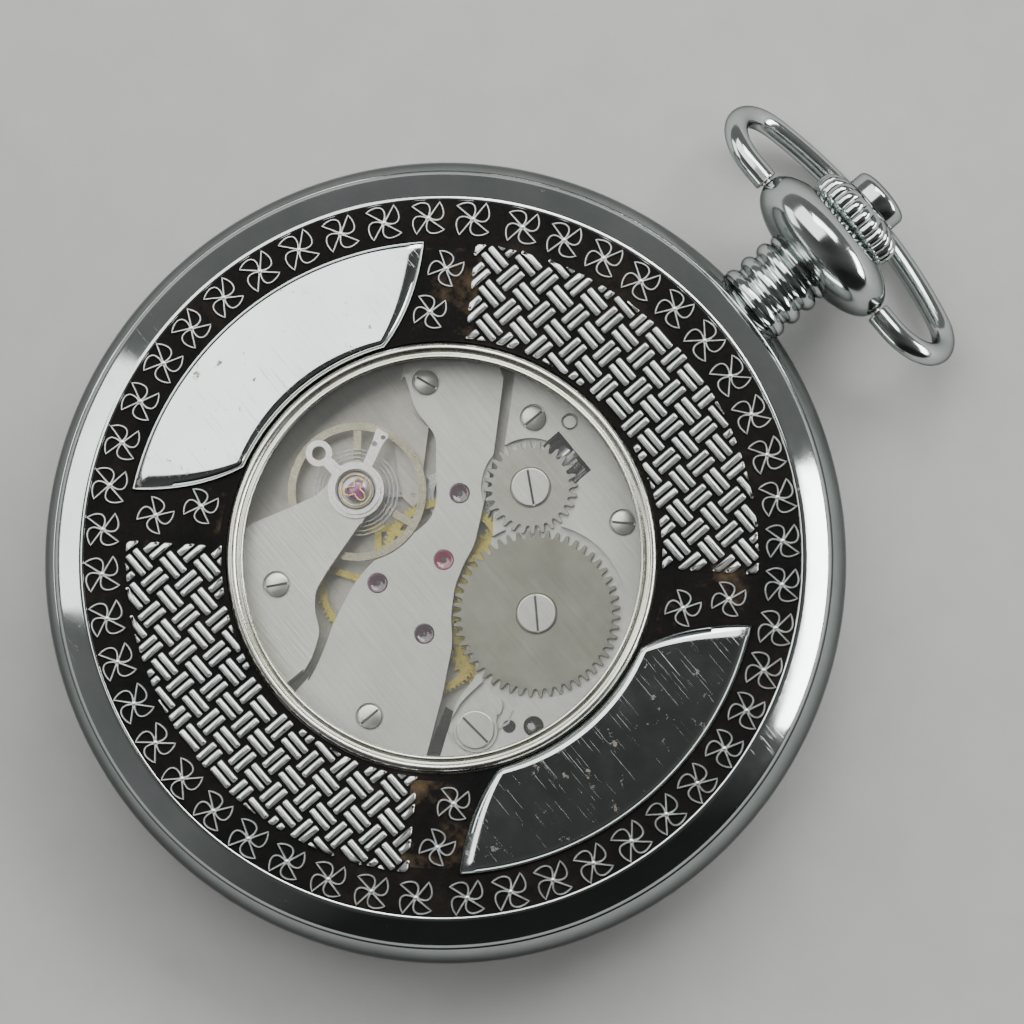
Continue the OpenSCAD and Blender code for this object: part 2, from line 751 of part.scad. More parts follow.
module third_wheel() {
    color("goldenrod") translate([third_c[0], third_c[1], 0]) {
        translate([0, 0, 7.16])
            spoked(75, third_m, heading(third_c, centre), 5, 0.18);
        pinion(10, second_m, heading(third_c, second_c) + 18, 7.48, 7.8);
        translate([0, 0, 6.1]) cylinder(h = 2.5, r = 0.18);
    }
}

module fourth_wheel() {
    color("goldenrod") {
        translate([0, 0, 7.85])
            spoked(84, fourth_m, heading(centre, escape_c), 5, 0.16);
        pinion(10, third_m, heading(centre, third_c) + 18, 7.08, 7.42);
        disc(centre, 2.62, 8.6, 0.2);
    }
}

module escape_wheel() {
    teeth = 15;
    color("goldenrod") translate([escape_c[0], escape_c[1], 0]) {
        translate([0, 0, 7.2]) linear_extrude(0.2) {
            difference() {
                polygon([
                    for (i = [0 : teeth - 1])
                        for (p = [[0, 0.82], [0.3, 0.97], [0.42, 1], [0.5, 0.86]])
                            let (a = (i + p[0]) * 360 / teeth) escape_r * p[1] * [cos(a), sin(a)]
                ]);
                circle(r = escape_r * 0.66);
            }
            circle(r = 0.5);
            for (i = [0 : 3]) rotate(i * 90 + 12) translate([0, -0.15]) square([escape_r * 0.7, 0.3]);
        }
        pinion(7, fourth_m, heading(escape_c, centre) + 180 / 7, 7.8, 8.05);
        translate([0, 0, 6.1]) cylinder(h = 2.5, r = 0.12);
    }
}

module pallet_fork() {
    toward_balance = heading(pallet_c, balance_c);
    fork_l = norm(balance_c - pallet_c) - 0.75;
    toward_escape = heading(pallet_c, escape_c);
    arm_l = escape_r * tan(30) - 0.13;
    color("gray") translate([pallet_c[0], pallet_c[1], 0]) {
        translate([0, 0, 7.18]) linear_extrude(0.2) rotate(toward_balance) {
            translate([-0.4, -0.12]) square([fork_l - 0.2, 0.24]);
            for (side = [-1, 1])
                translate([fork_l - 0.7, side > 0 ? 0.14 : -0.28]) square([0.65, 0.14]);
            translate([fork_l - 0.75, -0.28]) square([0.2, 0.56]);
            circle(r = 0.32);
            for (side = [-60, 60])
                rotate(toward_escape + side - toward_balance) translate([0, -0.11]) square([arm_l, 0.22]);
        }
        translate([0, 0, 6.2]) cylinder(h = 1.55, r = 0.09);
    }
}

module balance_wheel() {
    roller_angle = heading(balance_c, pallet_c);
    color("goldenrod") translate([balance_c[0], balance_c[1], 0]) {
        translate([0, 0, 8.15]) linear_extrude(0.5) difference() {
            circle(r = balance_r, $fn = 120);
            circle(r = balance_r - 0.45, $fn = 120);
        }
        translate([0, 0, 8.3]) linear_extrude(0.18) {
            for (i = [0 : 2]) rotate(i * 120 + 20) translate([0, -0.22]) square([balance_r - 0.2, 0.44]);
            circle(r = 0.7);
        }
        translate([0, 0, 6.2]) cylinder(h = 3.4, r = 0.1);
        translate([0, 0, 7.55]) cylinder(h = 0.2, r = 0.62);
        rotate(roller_angle) translate([0.5, 0, 7.42]) cylinder(h = 0.15, r = 0.08);
    }
}

module hairspring() {
    color("steelblue") translate([balance_c[0], balance_c[1], 8.76]) linear_extrude(0.14)
        spiral_strip(0.5, 2.6, 9, 0.06, 216);
}

module regulator() {
    color("silver") translate([balance_c[0], balance_c[1], 9.92]) linear_extrude(0.16) {
        difference() {
            circle(r = 1.64);
            circle(r = 1.44);
        }
        rotate(115) translate([1.5, -0.3]) square([1.7, 0.6]);
        rotate(115) translate([3.3, 0]) circle(r = 0.5, $fn = 32);
    }
}

module stud_carrier() {
    reach = norm(stud_c - balance_c);
    color("silver") translate([balance_c[0], balance_c[1], 10.1]) linear_extrude(0.18) {
        difference() {
            circle(r = 1.44);
            circle(r = 1.22);
        }
        difference() {
            union() {
                rotate(heading(balance_c, stud_c)) translate([1.35, -0.3]) square([reach - 1.6, 0.6]);
                translate(stud_c - balance_c) circle(r = 0.77, $fn = 40);
            }
            translate(stud_c - balance_c) circle(r = 0.41, $fn = 40);
        }
    }
}

module shock_spring() {
    color("gold") translate([balance_c[0], balance_c[1], 9.95]) linear_extrude(0.12) {
        difference() {
            circle(r = 1.1);
            circle(r = 0.95);
        }
        for (i = [0 : 2]) rotate(i * 120) translate([0.48, -0.09]) square([0.52, 0.18]);
    }
}

module cap_jewel() {
    color("crimson") disc(balance_c, 9.7, 9.93, 1.1);
}

module train_jewels() {
    color("crimson") for (c = [second_c, third_c, escape_c, centre])
        translate([c[0], c[1], 8.62]) cylinder(h = 0.33, r = 0.6);
}

module bridge_screws() {
    slots = [20, 90, 90, 45];
    color("silver") {
        for (i = [0 : 3])
            slotted_screw(bridge_screw_c[i], 0.78, 0.5, bridge_z0 + 0.02, 8.62, 9.02, slots[i]);
        slotted_screw(cock_screw_c, 0.78, 0.5, 8.1, 9.52, 9.88, 60);
    }
}

case_middle();
rear_cover();
window_ring();
rear_crystal();
front_bezel();
front_crystal();
front_cover();
hinge_pin();
lift_spring();
lid_catch();
pendant();
crown();
crown_tube();
push_button();
button_rod();
bow();
bow_pins();
dial();
hour_hand();
minute_hand();
seconds_hand();
hour_wheel();
cannon_pinion();
minute_wheel();
main_plate();
movement_ring();
barrel_bridge();
train_bridge();
balance_cock();
pallet_cock();
barrel();
barrel_arbor();
mainspring();
ratchet_wheel();
ratchet_screw();
crown_wheel();
crown_wheel_screw();
click();
click_screw();
click_spring();
second_wheel();
third_wheel();
fourth_wheel();
escape_wheel();
pallet_fork();
balance_wheel();
hairspring();
regulator();
stud_carrier();
shock_spring();
cap_jewel();
train_jewels();
bridge_screws();
stem();
winding_pinion();
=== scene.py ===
import math
import random

import bmesh
import bpy
from mathutils import Matrix, Vector


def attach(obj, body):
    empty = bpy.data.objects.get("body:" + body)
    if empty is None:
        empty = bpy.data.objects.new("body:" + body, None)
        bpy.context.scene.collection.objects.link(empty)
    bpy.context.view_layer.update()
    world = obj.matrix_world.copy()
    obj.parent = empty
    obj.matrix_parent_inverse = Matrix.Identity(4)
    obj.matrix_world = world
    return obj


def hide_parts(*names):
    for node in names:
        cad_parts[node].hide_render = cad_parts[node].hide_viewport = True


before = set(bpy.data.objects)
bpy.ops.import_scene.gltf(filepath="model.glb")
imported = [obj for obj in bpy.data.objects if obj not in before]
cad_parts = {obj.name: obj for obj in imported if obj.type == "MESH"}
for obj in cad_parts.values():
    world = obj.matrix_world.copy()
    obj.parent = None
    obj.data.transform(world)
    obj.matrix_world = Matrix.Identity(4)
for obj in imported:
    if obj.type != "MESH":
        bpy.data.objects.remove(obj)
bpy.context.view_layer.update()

# ---------- sizes, in millimetres, in the frame of the CAD model ----------

MM = 0.001
STEM_Z = 6.8
BOW_Y = 28.8
BOW_HANG = math.radians(58.6)
FIELD_R = 20.9
PANEL_OUT = 18.3
PANEL_IN = 12.66
ORNAMENT_TURN = 0.5
PINWHEEL_RUNS = ((-36.1, 125.9, 23), (134.4, 315.3, 25))
ESCAPE = (-2.39, 3.2)
THIRD = (-1.44, -3.82)
SECOND = (2.58, -3.63)
BARREL = (5.87, 2.14)
CROWN_WHEEL = (0.0, 6.6)
BALANCE = (-6.34, -1.32)
STUD = (-9.35, -1.6)
CLICK = (8.79, -4.94)
DOWEL = (-1.46, 10.8)
SMALL_HOLE, LARGE_HOLE = (9.88, -3.3), (10.8, -2.2)
COCK_SCREW = (-5.06, -8.4)
TRAIN_SCREWS = ((-8.63, 5.85), (4.25, -9.18))
BARREL_SCREWS = ((-2.98, 9.33), (5.06, 9.39))
BRIDGE_LOW, BRIDGE_TOP, RECESS = 8.1, 9.0, 8.45
COCK_LOW, COCK_TOP, FOOT_LOW = 9.15, 9.9, 6.6
WHEEL_LOW, WHEEL_TOP, WHEEL_SEAT = 8.5, 8.9, 8.81
CROWN_TEETH, RATCHET_TEETH = 28, 51
SCREW_SEAT_R = 0.82
MOVEMENT_R = 12.3
HINGE_Y, HINGE_Z = -22.6, 2.55


def field_z(r):
    """Height of the dark field of the rear cover at radius r."""
    return 11.93 - 0.1 * ((r - 12.5) / 8.4) ** 2


# ---------- plane figures ----------

def polar(r, degrees, centre=(0, 0)):
    a = math.radians(degrees)
    return (centre[0] + r * math.cos(a), centre[1] + r * math.sin(a))


def arc(centre, r, start, end, steps):
    """Points along an arc, in degrees, both ends included."""
    return [polar(r, start + (end - start) * i / steps, centre) for i in range(steps + 1)]


def bezier(points, steps):
    """Points along a Bezier curve through its end points, both ends included."""
    out = []
    for i in range(steps + 1):
        level = [Vector(p) for p in points]
        while len(level) > 1:
            level = [a.lerp(b, i / steps) for a, b in zip(level, level[1:])]
        out.append(tuple(level[0]))
    return out


def rounded(points, radius, steps=4):
    """A closed outline with its corners rounded."""
    out = []
    count = len(points)
    for i, corner in enumerate(points):
        here = Vector(corner)
        ends = []
        for other in (points[i - 1], points[(i + 1) % count]):
            way = Vector(other) - here
            ends.append(here + way.normalized() * min(radius, way.length * 0.45))
        out.extend(bezier([ends[0], here, ends[1]], steps))
    return out


def clip(polygon, normal, limit):
    """The part of a convex polygon where normal . p <= limit."""
    out = []
    for a, b in zip(polygon, polygon[1:] + polygon[:1]):
        da = normal[0] * a[0] + normal[1] * a[1] - limit
        db = normal[0] * b[0] + normal[1] * b[1] - limit
        if da <= 0:
            out.append(a)
        if da * db < 0:
            t = da / (da - db)
            out.append((a[0] + (b[0] - a[0]) * t, a[1] + (b[1] - a[1]) * t))
    return out


def area(polygon):
    return 0.5 * sum(a[0] * b[1] - b[0] * a[1] for a, b in zip(polygon, polygon[1:] + polygon[:1]))


def inset(polygon, distance):
    """A convex counter-clockwise polygon moved inwards by distance, corner by corner."""
    out = []
    count = len(polygon)
    for i in range(count):
        here = Vector(polygon[i])
        before = (here - Vector(polygon[i - 1])).normalized()
        after = (Vector(polygon[(i + 1) % count]) - here).normalized()
        inward = Vector((-before.y - after.y, before.x + after.x))
        if inward.length < 1e-6:
            inward = Vector((-before.y, before.x))
        inward.normalize()
        lean = max(0.35, inward.dot(Vector((-before.y, before.x))))
        out.append(tuple(here + inward * (distance / lean)))
    return out


# ---------- meshes ----------

class Shape:
    """Vertices in millimetres and faces, gathered before they become one mesh."""

    def __init__(self):
        self.verts = []
        self.faces = []

    def add(self, verts, faces):
        base = len(self.verts)
        self.verts.extend(verts)
        self.faces.extend([tuple(base + i for i in f) for f in faces])

    def rings(self, rings, closed_along=False):
        """Joins rings of equal length with quads, with caps at both ends unless the row of rings closes."""
        n = len(rings[0])
        faces = []
        last = len(rings) if closed_along else len(rings) - 1
        for j in range(last):
            k = (j + 1) % len(rings)
            for i in range(n):
                i2 = (i + 1) % n
                faces.append((j * n + i, j * n + i2, k * n + i2, k * n + i))
        if not closed_along:
            faces.append(tuple(reversed(range(n))))
            faces.append(tuple((len(rings) - 1) * n + i for i in range(n)))
        self.add([p for ring in rings for p in ring], faces)

    def prism(self, outline, low, high):
        self.rings([[(x, y, low) for x, y in outline], [(x, y, high) for x, y in outline]])


def add_object(name, data):
    piece = bpy.data.objects.new(name, data)
    bpy.context.collection.objects.link(piece)
    return piece


def shade(mesh, smooth):
    """Shades a mesh smooth, but for the edges that turn by more than an angle."""
    for face in mesh.polygons:
        face.use_smooth = True
    mesh.set_sharp_from_angle(angle=math.radians(smooth))


def make(name, shape, smooth=35):
    """A Blender object from a Shape: scaled to metres, welded, with outward normals."""
    mesh = bpy.data.meshes.new(name)
    mesh.from_pydata([Vector(v) * MM for v in shape.verts], [], shape.faces)
    work = bmesh.new()
    work.from_mesh(mesh)
    bmesh.ops.remove_doubles(work, verts=work.verts, dist=2e-7)
    bmesh.ops.dissolve_degenerate(work, edges=work.edges, dist=1e-7)
    bmesh.ops.recalc_face_normals(work, faces=work.faces)
    work.to_mesh(mesh)
    work.free()
    shade(mesh, smooth)
    return add_object(name, mesh)


def settle(piece, smooth=35):
    """Applies a piece's modifiers to its mesh, and shades it smooth below an angle unless that is None."""
    graph = bpy.context.evaluated_depsgraph_get()
    mesh = bpy.data.meshes.new_from_object(piece.evaluated_get(graph))
    piece.modifiers.clear()
    piece.data = mesh
    if smooth is not None:
        shade(mesh, smooth)
    return piece


def cut(piece, cutters, operation="DIFFERENCE"):
    """Cuts the cutters out of a piece, or joins them to it, and removes them."""
    for cutter in cutters:
        step = piece.modifiers.new("cut", "BOOLEAN")
        step.operation = operation
        step.solver = "EXACT"
        step.object = cutter
    bpy.context.view_layer.update()
    settle(piece)
    for cutter in cutters:
        bpy.data.objects.remove(cutter)
    return piece


def bevel(piece, width, segments=2, angle=35):
    """Rounds the sharp edges of a piece by a width in millimetres."""
    step = piece.modifiers.new("bevel", "BEVEL")
    step.width = width * MM
    step.segments = segments
    step.limit_method = "ANGLE"
    step.angle_limit = math.radians(angle)
    step.use_clamp_overlap = True
    return even(piece)


def even(piece):
    """Shades the flat faces of a piece flat."""
    flat = piece.modifiers.new("flat", "WEIGHTED_NORMAL")
    flat.weight = 100
    flat.keep_sharp = True
    bpy.context.view_layer.update()
    return settle(piece, None)


def slab(name, outline, low, high):
    shape = Shape()
    shape.prism(outline, low, high)
    return make(name, shape)


def drum(centre, r, low, high, steps=72):
    return slab("cutter", arc(centre, r, 0, 360 - 360 / steps, steps - 1), low, high)


def block(corner, opposite):
    (x0, y0, z0), (x1, y1, z1) = corner, opposite
    return slab("cutter", [(x0, y0), (x1, y0), (x1, y1), (x0, y1)], z0, z1)


def turned(profile, steps=192, move=None):
    """A Shape from a profile of (radius, height) turned about +Z, each point then put through move.

    A profile that starts at radius 0 gets flat ends. Any other profile closes on itself into a ring.
    """
    solid = profile[0][0] == 0
    rings = []
    for r, z in profile[1:-1] if solid else profile:
        ring = [(*polar(r, 360 * i / steps), z) for i in range(steps)]
        rings.append([move(p) for p in ring] if move else ring)
    shape = Shape()
    shape.rings(rings, closed_along=not solid)
    return shape


def on_stem(p):
    """Turns a point drawn along +Z onto the stem axis, along +Y."""
    return (p[0], p[2], STEM_Z - p[1])


def at(centre):
    return lambda p: (p[0] + centre[0], p[1] + centre[1], p[2])


def ridge(shape, path, width, height, sunk):
    """Adds a rounded ridge along a closed path on the field, its foot sunk into it."""
    section = [(-0.5, 0.0), (-0.38, 0.6), (-0.16, 0.95), (0.16, 0.95), (0.38, 0.6), (0.5, 0.0)]
    count = len(path)
    rings = []
    for i, point in enumerate(path):
        before, after = path[i - 1], path[(i + 1) % count]
        way = Vector((after[0] - before[0], after[1] - before[1])).normalized()
        side = Vector((-way.y, way.x))
        foot = field_z(math.hypot(*point)) - sunk
        rings.append([
            (point[0] + side.x * s * width, point[1] + side.y * s * width, foot + h * height)
            for s, h in section
        ])
    shape.rings(rings, closed_along=True)


def tube(shape, path, radius, sides, closed=False):
    """Adds a round tube along a path; radius is a number or a function of the place from 0 to 1."""
    points = [Vector(p) for p in path]
    count = len(points)
    up = Vector((0, 0, 1))
    rings = []
    for i, point in enumerate(points):
        before = points[i - 1] if closed or i else points[0]
        after = points[(i + 1) % count] if closed or i < count - 1 else points[-1]
        way = (after - before).normalized()
        side = way.cross(up)
        if side.length < 1e-3:
            side = way.cross(Vector((1, 0, 0)))
        side.normalize()
        up = side.cross(way).normalized()
        r = radius(i / (count - 1)) if callable(radius) else radius
        rings.append([
            tuple(point + (side * math.cos(a) + up * math.sin(a)) * r)
            for a in (2 * math.pi * k / sides for k in range(sides))
        ])
    shape.rings(rings, closed_along=closed)


# ---------- materials ----------

class Nodes:
    """A node tree, with short ways to add the nodes that the materials use."""

    def __init__(self, tree):
        self.tree = tree

    def new(self, kind):
        return self.tree.nodes.new(kind)

    def put(self, value, socket):
        """Links a socket to another one, or sets it to a colour or a number."""
        if isinstance(value, bpy.types.NodeSocket):
            self.tree.links.new(value, socket)
        else:
            socket.default_value = (*value, 1) if isinstance(value, tuple) else value

    def shader(self, values):
        """Puts values into inputs of a material's main shader."""
        inputs = self.tree.nodes["Principled BSDF"].inputs
        for name, value in values.items():
            self.put(value, inputs[name])

    def coords(self, stretch=(1, 1, 1), turn=0.0):
        """Object coordinates, turned about Z and stretched."""
        coords = self.new("ShaderNodeTexCoord")
        mapping = self.new("ShaderNodeMapping")
        mapping.inputs["Rotation"].default_value = (0, 0, turn)
        mapping.inputs["Scale"].default_value = stretch
        self.put(coords.outputs["Object"], mapping.inputs["Vector"])
        return mapping.outputs["Vector"]

    def noise(self, vector, scale, detail, roughness):
        node = self.new("ShaderNodeTexNoise")
        node.inputs["Scale"].default_value = scale
        node.inputs["Detail"].default_value = detail
        node.inputs["Roughness"].default_value = roughness
        self.put(vector, node.inputs["Vector"])
        return node.outputs["Fac"]

    def ramp(self, source, stops):
        """A colour ramp; stops are (position, colour or grey)."""
        node = self.new("ShaderNodeValToRGB")
        elements = node.color_ramp.elements
        while len(elements) < len(stops):
            elements.new(0.5)
        for element, (position, value) in zip(elements, stops):
            element.position = position
            colour = value if isinstance(value, tuple) else (value, value, value)
            element.color = (*colour, 1)
        self.put(source, node.inputs["Fac"])
        return node.outputs["Color"]

    def mix(self, factor, a, b, mode="MIX"):
        node = self.new("ShaderNodeMix")
        node.data_type = "RGBA"
        node.blend_type = mode
        self.put(factor, node.inputs["Factor"])
        self.put(a, node.inputs[6])
        self.put(b, node.inputs[7])
        return node.outputs[2]

    def bump(self, height, depth, under=None):
        """A bump of a depth in millimetres, on top of another normal if there is one."""
        node = self.new("ShaderNodeBump")
        node.inputs["Distance"].default_value = depth * MM
        self.put(height, node.inputs["Height"])
        if under is not None:
            self.put(under, node.inputs["Normal"])
        return node.outputs["Normal"]


def new_material(name):
    """A material and its nodes."""
    mat = bpy.data.materials.new(name)
    mat.use_nodes = True
    return mat, Nodes(mat.node_tree)


def metal(name, light, dark, rough, grain=None, scratches=0.0, tarnish=None, tarnish_at=0.62, turn=0.0,
          mottle=180, dents=0.0, edge=1.0):
    """A worked metal: mottled colour, smudged roughness, optional brushed grain, scratches and tarnish.

    light and dark are colours, rough is the lowest and highest roughness, grain is the depth of brushing in
    millimetres along the direction turned by turn, mottle is the number of colour patches per metre, and
    edge is the metal's reflectivity at a grazing angle.
    """
    mat, nodes = new_material(name)
    plain = nodes.coords()
    patches = nodes.noise(plain, mottle, 5, 0.65)
    colour = nodes.ramp(patches, [(0.3, dark), (0.7, light)])
    smudge = nodes.noise(plain, mottle * 2.7, 6, 0.7)
    roughness = nodes.ramp(smudge, [(0.3, rough[0]), (0.75, rough[1])])
    normal = None
    if dents:
        waves = nodes.noise(plain, 420, 2, 0.4)
        normal = nodes.bump(waves, dents)
    if grain:
        brushed = nodes.noise(nodes.coords((0.6, 14, 1), turn), 420, 4, 0.7)
        normal = nodes.bump(brushed, grain, under=normal)
        streak = nodes.ramp(brushed, [(0.3, 0.84), (0.7, 1.0)])
        colour = nodes.mix(1.0, colour, streak, "MULTIPLY")
    if scratches:
        for scratch_turn in (0.5, 2.1):
            along = nodes.coords((0.4, 45, 1), scratch_turn)
            lines = nodes.noise(along, 420, 2, 0.5)
            cuts = nodes.ramp(lines, [(0.68, 0.0), (0.76, 1.0)])
            normal = nodes.bump(cuts, -scratches, under=normal)
    if tarnish:
        stain = nodes.noise(plain, 900, 8, 0.75)
        where = nodes.ramp(stain, [(tarnish_at, 0.0), (tarnish_at + 0.05, 1.0)])
        colour = nodes.mix(where, colour, tarnish)
        roughness = nodes.mix(where, roughness, (0.6, 0.6, 0.6))
    nodes.shader({"Base Color": colour, "Roughness": roughness, "Metallic": 1.0,
                  "Specular Tint": (edge, edge, edge)})
    if normal is not None:
        nodes.shader({"Normal": normal})
    return mat


def oxidised_field(name, stain, first):
    """The blackened, grainy ground of the rear cover, with painted glints on its grains and a stain from the
    noise level first upwards.
    """
    mat, nodes = new_material(name)
    plain = nodes.coords()
    cloud = nodes.noise(plain, 190, 6, 0.7)
    colour = nodes.ramp(cloud, [(0.35, 0.002), (first, (0.006, 0.005, 0.004)), (first + 0.16, stain)])
    grains = nodes.noise(plain, 5200, 4, 0.7)
    # Lighter specks mixed into the colour on the grains: painted glints.
    painted_glints = nodes.ramp(grains, [(0.68, 0.0), (0.85, 1.0)])
    nodes.shader({"Base Color": nodes.mix(painted_glints, colour, (0.05, 0.042, 0.033)),
                  "Roughness": nodes.ramp(grains, [(0.3, 0.5), (0.7, 0.8)]),
                  "Normal": nodes.bump(grains, 0.012), "Specular IOR Level": 0.12})
    return mat


def ruby(name, light, dark):
    mat, nodes = new_material(name)
    cloud = nodes.noise(nodes.coords(), 1400, 3, 0.5)
    nodes.shader({"Base Color": nodes.ramp(cloud, [(0.35, dark), (0.7, light)]),
                  "Roughness": nodes.ramp(cloud, [(0.3, 0.08), (0.7, 0.16)]),
                  "IOR": 1.76, "Coat Weight": 0.4})
    return mat


def crystal_glass():
    """Clear glass: see-through with a weak reflection and faint smears."""
    mat, nodes = new_material("crystal_glass")
    smear = nodes.noise(nodes.coords((1, 3, 1), 0.6), 130, 5, 0.6)
    nodes.shader({"Base Color": nodes.ramp(smear, [(0.3, (0.5, 0.52, 0.5)), (0.7, (0.62, 0.63, 0.61))]),
                  "Roughness": nodes.ramp(smear, [(0.4, 0.02), (0.8, 0.09)]),
                  "IOR": 1.45, "Alpha": 0.06})
    mat.blend_method = "BLEND"
    return mat


def lacquer(name, light, dark, rough):
    """A satin non-metal with a fine mottle."""
    mat, nodes = new_material(name)
    plain = nodes.coords()
    cloud = nodes.noise(plain, 320, 5, 0.6)
    grains = nodes.noise(plain, 4200, 3, 0.6)
    nodes.shader({"Base Color": nodes.ramp(cloud, [(0.3, dark), (0.7, light)]),
                  "Roughness": nodes.ramp(grains, [(0.3, rough[0]), (0.7, rough[1])]),
                  "Normal": nodes.bump(grains, 0.004)})
    return mat


CHROME = metal("worn_chrome", (0.64, 0.68, 0.67), (0.52, 0.56, 0.55), (0.05, 0.14), scratches=0.0008,
               dents=0.003, tarnish=(0.3, 0.22, 0.12), tarnish_at=0.66, edge=0.25)
CHROME_CLEAN = metal("clean_chrome", (0.66, 0.7, 0.69), (0.54, 0.58, 0.57), (0.09, 0.18),
                     tarnish=(0.42, 0.31, 0.1), tarnish_at=0.65, edge=0.25)
MIRROR_PANEL = metal("mirror_panel", (0.72, 0.76, 0.75), (0.6, 0.64, 0.63), (0.06, 0.16), scratches=0.002,
                     dents=0.004, tarnish=(0.3, 0.25, 0.18), tarnish_at=0.61)
RAISED_SILVER = metal("raised_silver", (0.92, 0.95, 0.93), (0.72, 0.75, 0.73), (0.27, 0.42), grain=0.002,
                      tarnish=(0.14, 0.09, 0.05), tarnish_at=0.69, mottle=700)
FIELD = oxidised_field("oxidised_field", (0.02, 0.015, 0.01), 0.56)
STAINED_FIELD = oxidised_field("stained_field", (0.1, 0.068, 0.038), 0.5)
WINDOW_METAL = metal("window_metal", (0.86, 0.87, 0.79), (0.68, 0.68, 0.58), (0.2, 0.36), scratches=0.0008,
                     tarnish=(0.3, 0.24, 0.12), tarnish_at=0.7)
NICKEL = metal("brushed_nickel", (0.66, 0.67, 0.61), (0.57, 0.58, 0.52), (0.34, 0.46), grain=0.006, turn=0.87)
NICKEL_COCK = metal("cock_nickel", (0.72, 0.72, 0.65), (0.58, 0.58, 0.51), (0.3, 0.42), grain=0.02, turn=-0.1)
# Nickel of the main plate, pallet cock and bridge feet, darker than the bridges' nickel: painted shade on
# these low parts under the bridges and the balance.
PLATE = metal("plate_nickel_painted_shade", (0.6, 0.59, 0.51), (0.4, 0.39, 0.33), (0.3, 0.42), grain=0.005, turn=0.2)
WHEEL_STEEL = metal("wheel_steel", (0.47, 0.47, 0.4), (0.36, 0.36, 0.3), (0.28, 0.42), grain=0.004, turn=1.0,
                    mottle=400)
RATCHET_STEEL = metal("ratchet_steel", (0.33, 0.33, 0.26), (0.22, 0.22, 0.17), (0.28, 0.42), grain=0.006,
                      turn=1.0, mottle=300)
SCREW_STEEL = metal("screw_steel", (0.74, 0.74, 0.67), (0.64, 0.64, 0.57), (0.28, 0.38), grain=0.003,
                    mottle=600)
BRIGHT_STEEL = metal("bright_steel", (0.98, 0.97, 0.92), (0.93, 0.92, 0.87), (0.2, 0.3), grain=0.001,
                     mottle=600)
# Near-black steel that stands for shade: painted shade on the floors of the screw slots and on the pivot ends
# in the jewel holes.
PAINTED_SHADE_STEEL = metal("painted_shade_steel", (0.09, 0.09, 0.08), (0.05, 0.05, 0.045), (0.5, 0.6), mottle=600)
STEEL = metal("plain_steel", (0.6, 0.6, 0.6), (0.42, 0.42, 0.42), (0.22, 0.4), grain=0.004, mottle=500)
BRASS = metal("gilt_brass", (0.6, 0.5, 0.11), (0.42, 0.34, 0.07), (0.22, 0.38), grain=0.004, mottle=500)
GOLD = metal("gold_spring", (0.9, 0.68, 0.3), (0.75, 0.52, 0.2), (0.14, 0.26), mottle=900)
BLUED = metal("blued_steel", (0.04, 0.07, 0.22), (0.02, 0.03, 0.12), (0.12, 0.24), mottle=400)
PALE_GILT = metal("pale_gilt", (0.56, 0.52, 0.38), (0.42, 0.39, 0.27), (0.2, 0.32), grain=0.003, mottle=500)
RUBY = ruby("ruby", (0.3, 0.04, 0.085), (0.14, 0.012, 0.035))
VIOLET_RUBY = ruby("violet_ruby", (0.4, 0.06, 0.3), (0.2, 0.02, 0.14))
# A darker copy of the same ruby: painted shade on the second, third and escape bearings.
SHADED_RUBY = ruby("ruby_painted_shade", (0.09, 0.025, 0.055), (0.035, 0.009, 0.022))
GLASS = crystal_glass()
DIAL_WHITE = lacquer("dial_lacquer", (0.86, 0.85, 0.8), (0.82, 0.81, 0.76), (0.35, 0.5))
DIAL_BLACK = lacquer("dial_print", (0.02, 0.02, 0.022), (0.012, 0.012, 0.014), (0.35, 0.5))
RING_GREY = lacquer("ring_plastic", (0.42, 0.43, 0.42), (0.36, 0.37, 0.36), (0.5, 0.65))


def place(piece, body, slot, material, *nodes):
    """Paints a piece, lets it ride on its body and stand for its CAD nodes. The slot is not used."""
    piece.data.materials.clear()
    piece.data.materials.append(material)
    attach(piece, body)
    if nodes:
        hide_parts(*nodes)
    return piece


# ---------- rear cover ----------

def rear_cover_rim():
    """Polished bevel around the field, with the wall under it."""
    profile = [(22.5, 10.42), (22.55, 10.5), (22.55, 10.62), (22.47, 10.74), (22.36, 10.86), (22.2, 10.98),
               (21.1, 11.76), (20.97, 11.84), (20.88, 11.86), (20.79, 11.85), (20.73, 11.79), (20.71, 11.65),
               (20.71, 11.1), (20.3, 11.05), (20.5, 10.42)]
    place(make("rear_cover_rim", turned(profile, 256), 40), "case", "case_chrome", CHROME, "rear_cover")


def rear_cover_field():
    """Dark domed ground between the rim and the window, with its underside."""
    radii = [12.52 + (FIELD_R - 12.52) * i / 16 for i in range(17)]
    profile = [(r, field_z(r)) for r in radii] + [(FIELD_R, 11.2), (12.52, 11.25)]
    place(make("rear_cover_field", turned(profile, 256)), "case", "cover_black", FIELD, "rear_cover")


def gap_strips():
    """Brown stained ground between the panels."""
    for i, middle in enumerate((-40.5, 40.5, 139.5, 220.5)):
        rows, columns = 9, 7
        top, low = [], []
        for v in range(rows):
            r = 12.7 + 5.5 * v / (rows - 1)
            for u in range(columns):
                x, y = polar(r, middle + ORNAMENT_TURN + 8.5 * (2 * u / (columns - 1) - 1))
                edge = 0 if u in (0, columns - 1) or v in (0, rows - 1) else 0.03
                top.append((x, y, field_z(r) - 0.01 + edge))
                low.append((x, y, field_z(r) - 0.06))
        strip = sheet(f"gap_strip_{i}", top, low, rows, columns)
        place(strip, "case", "cover_black", STAINED_FIELD, "rear_cover")


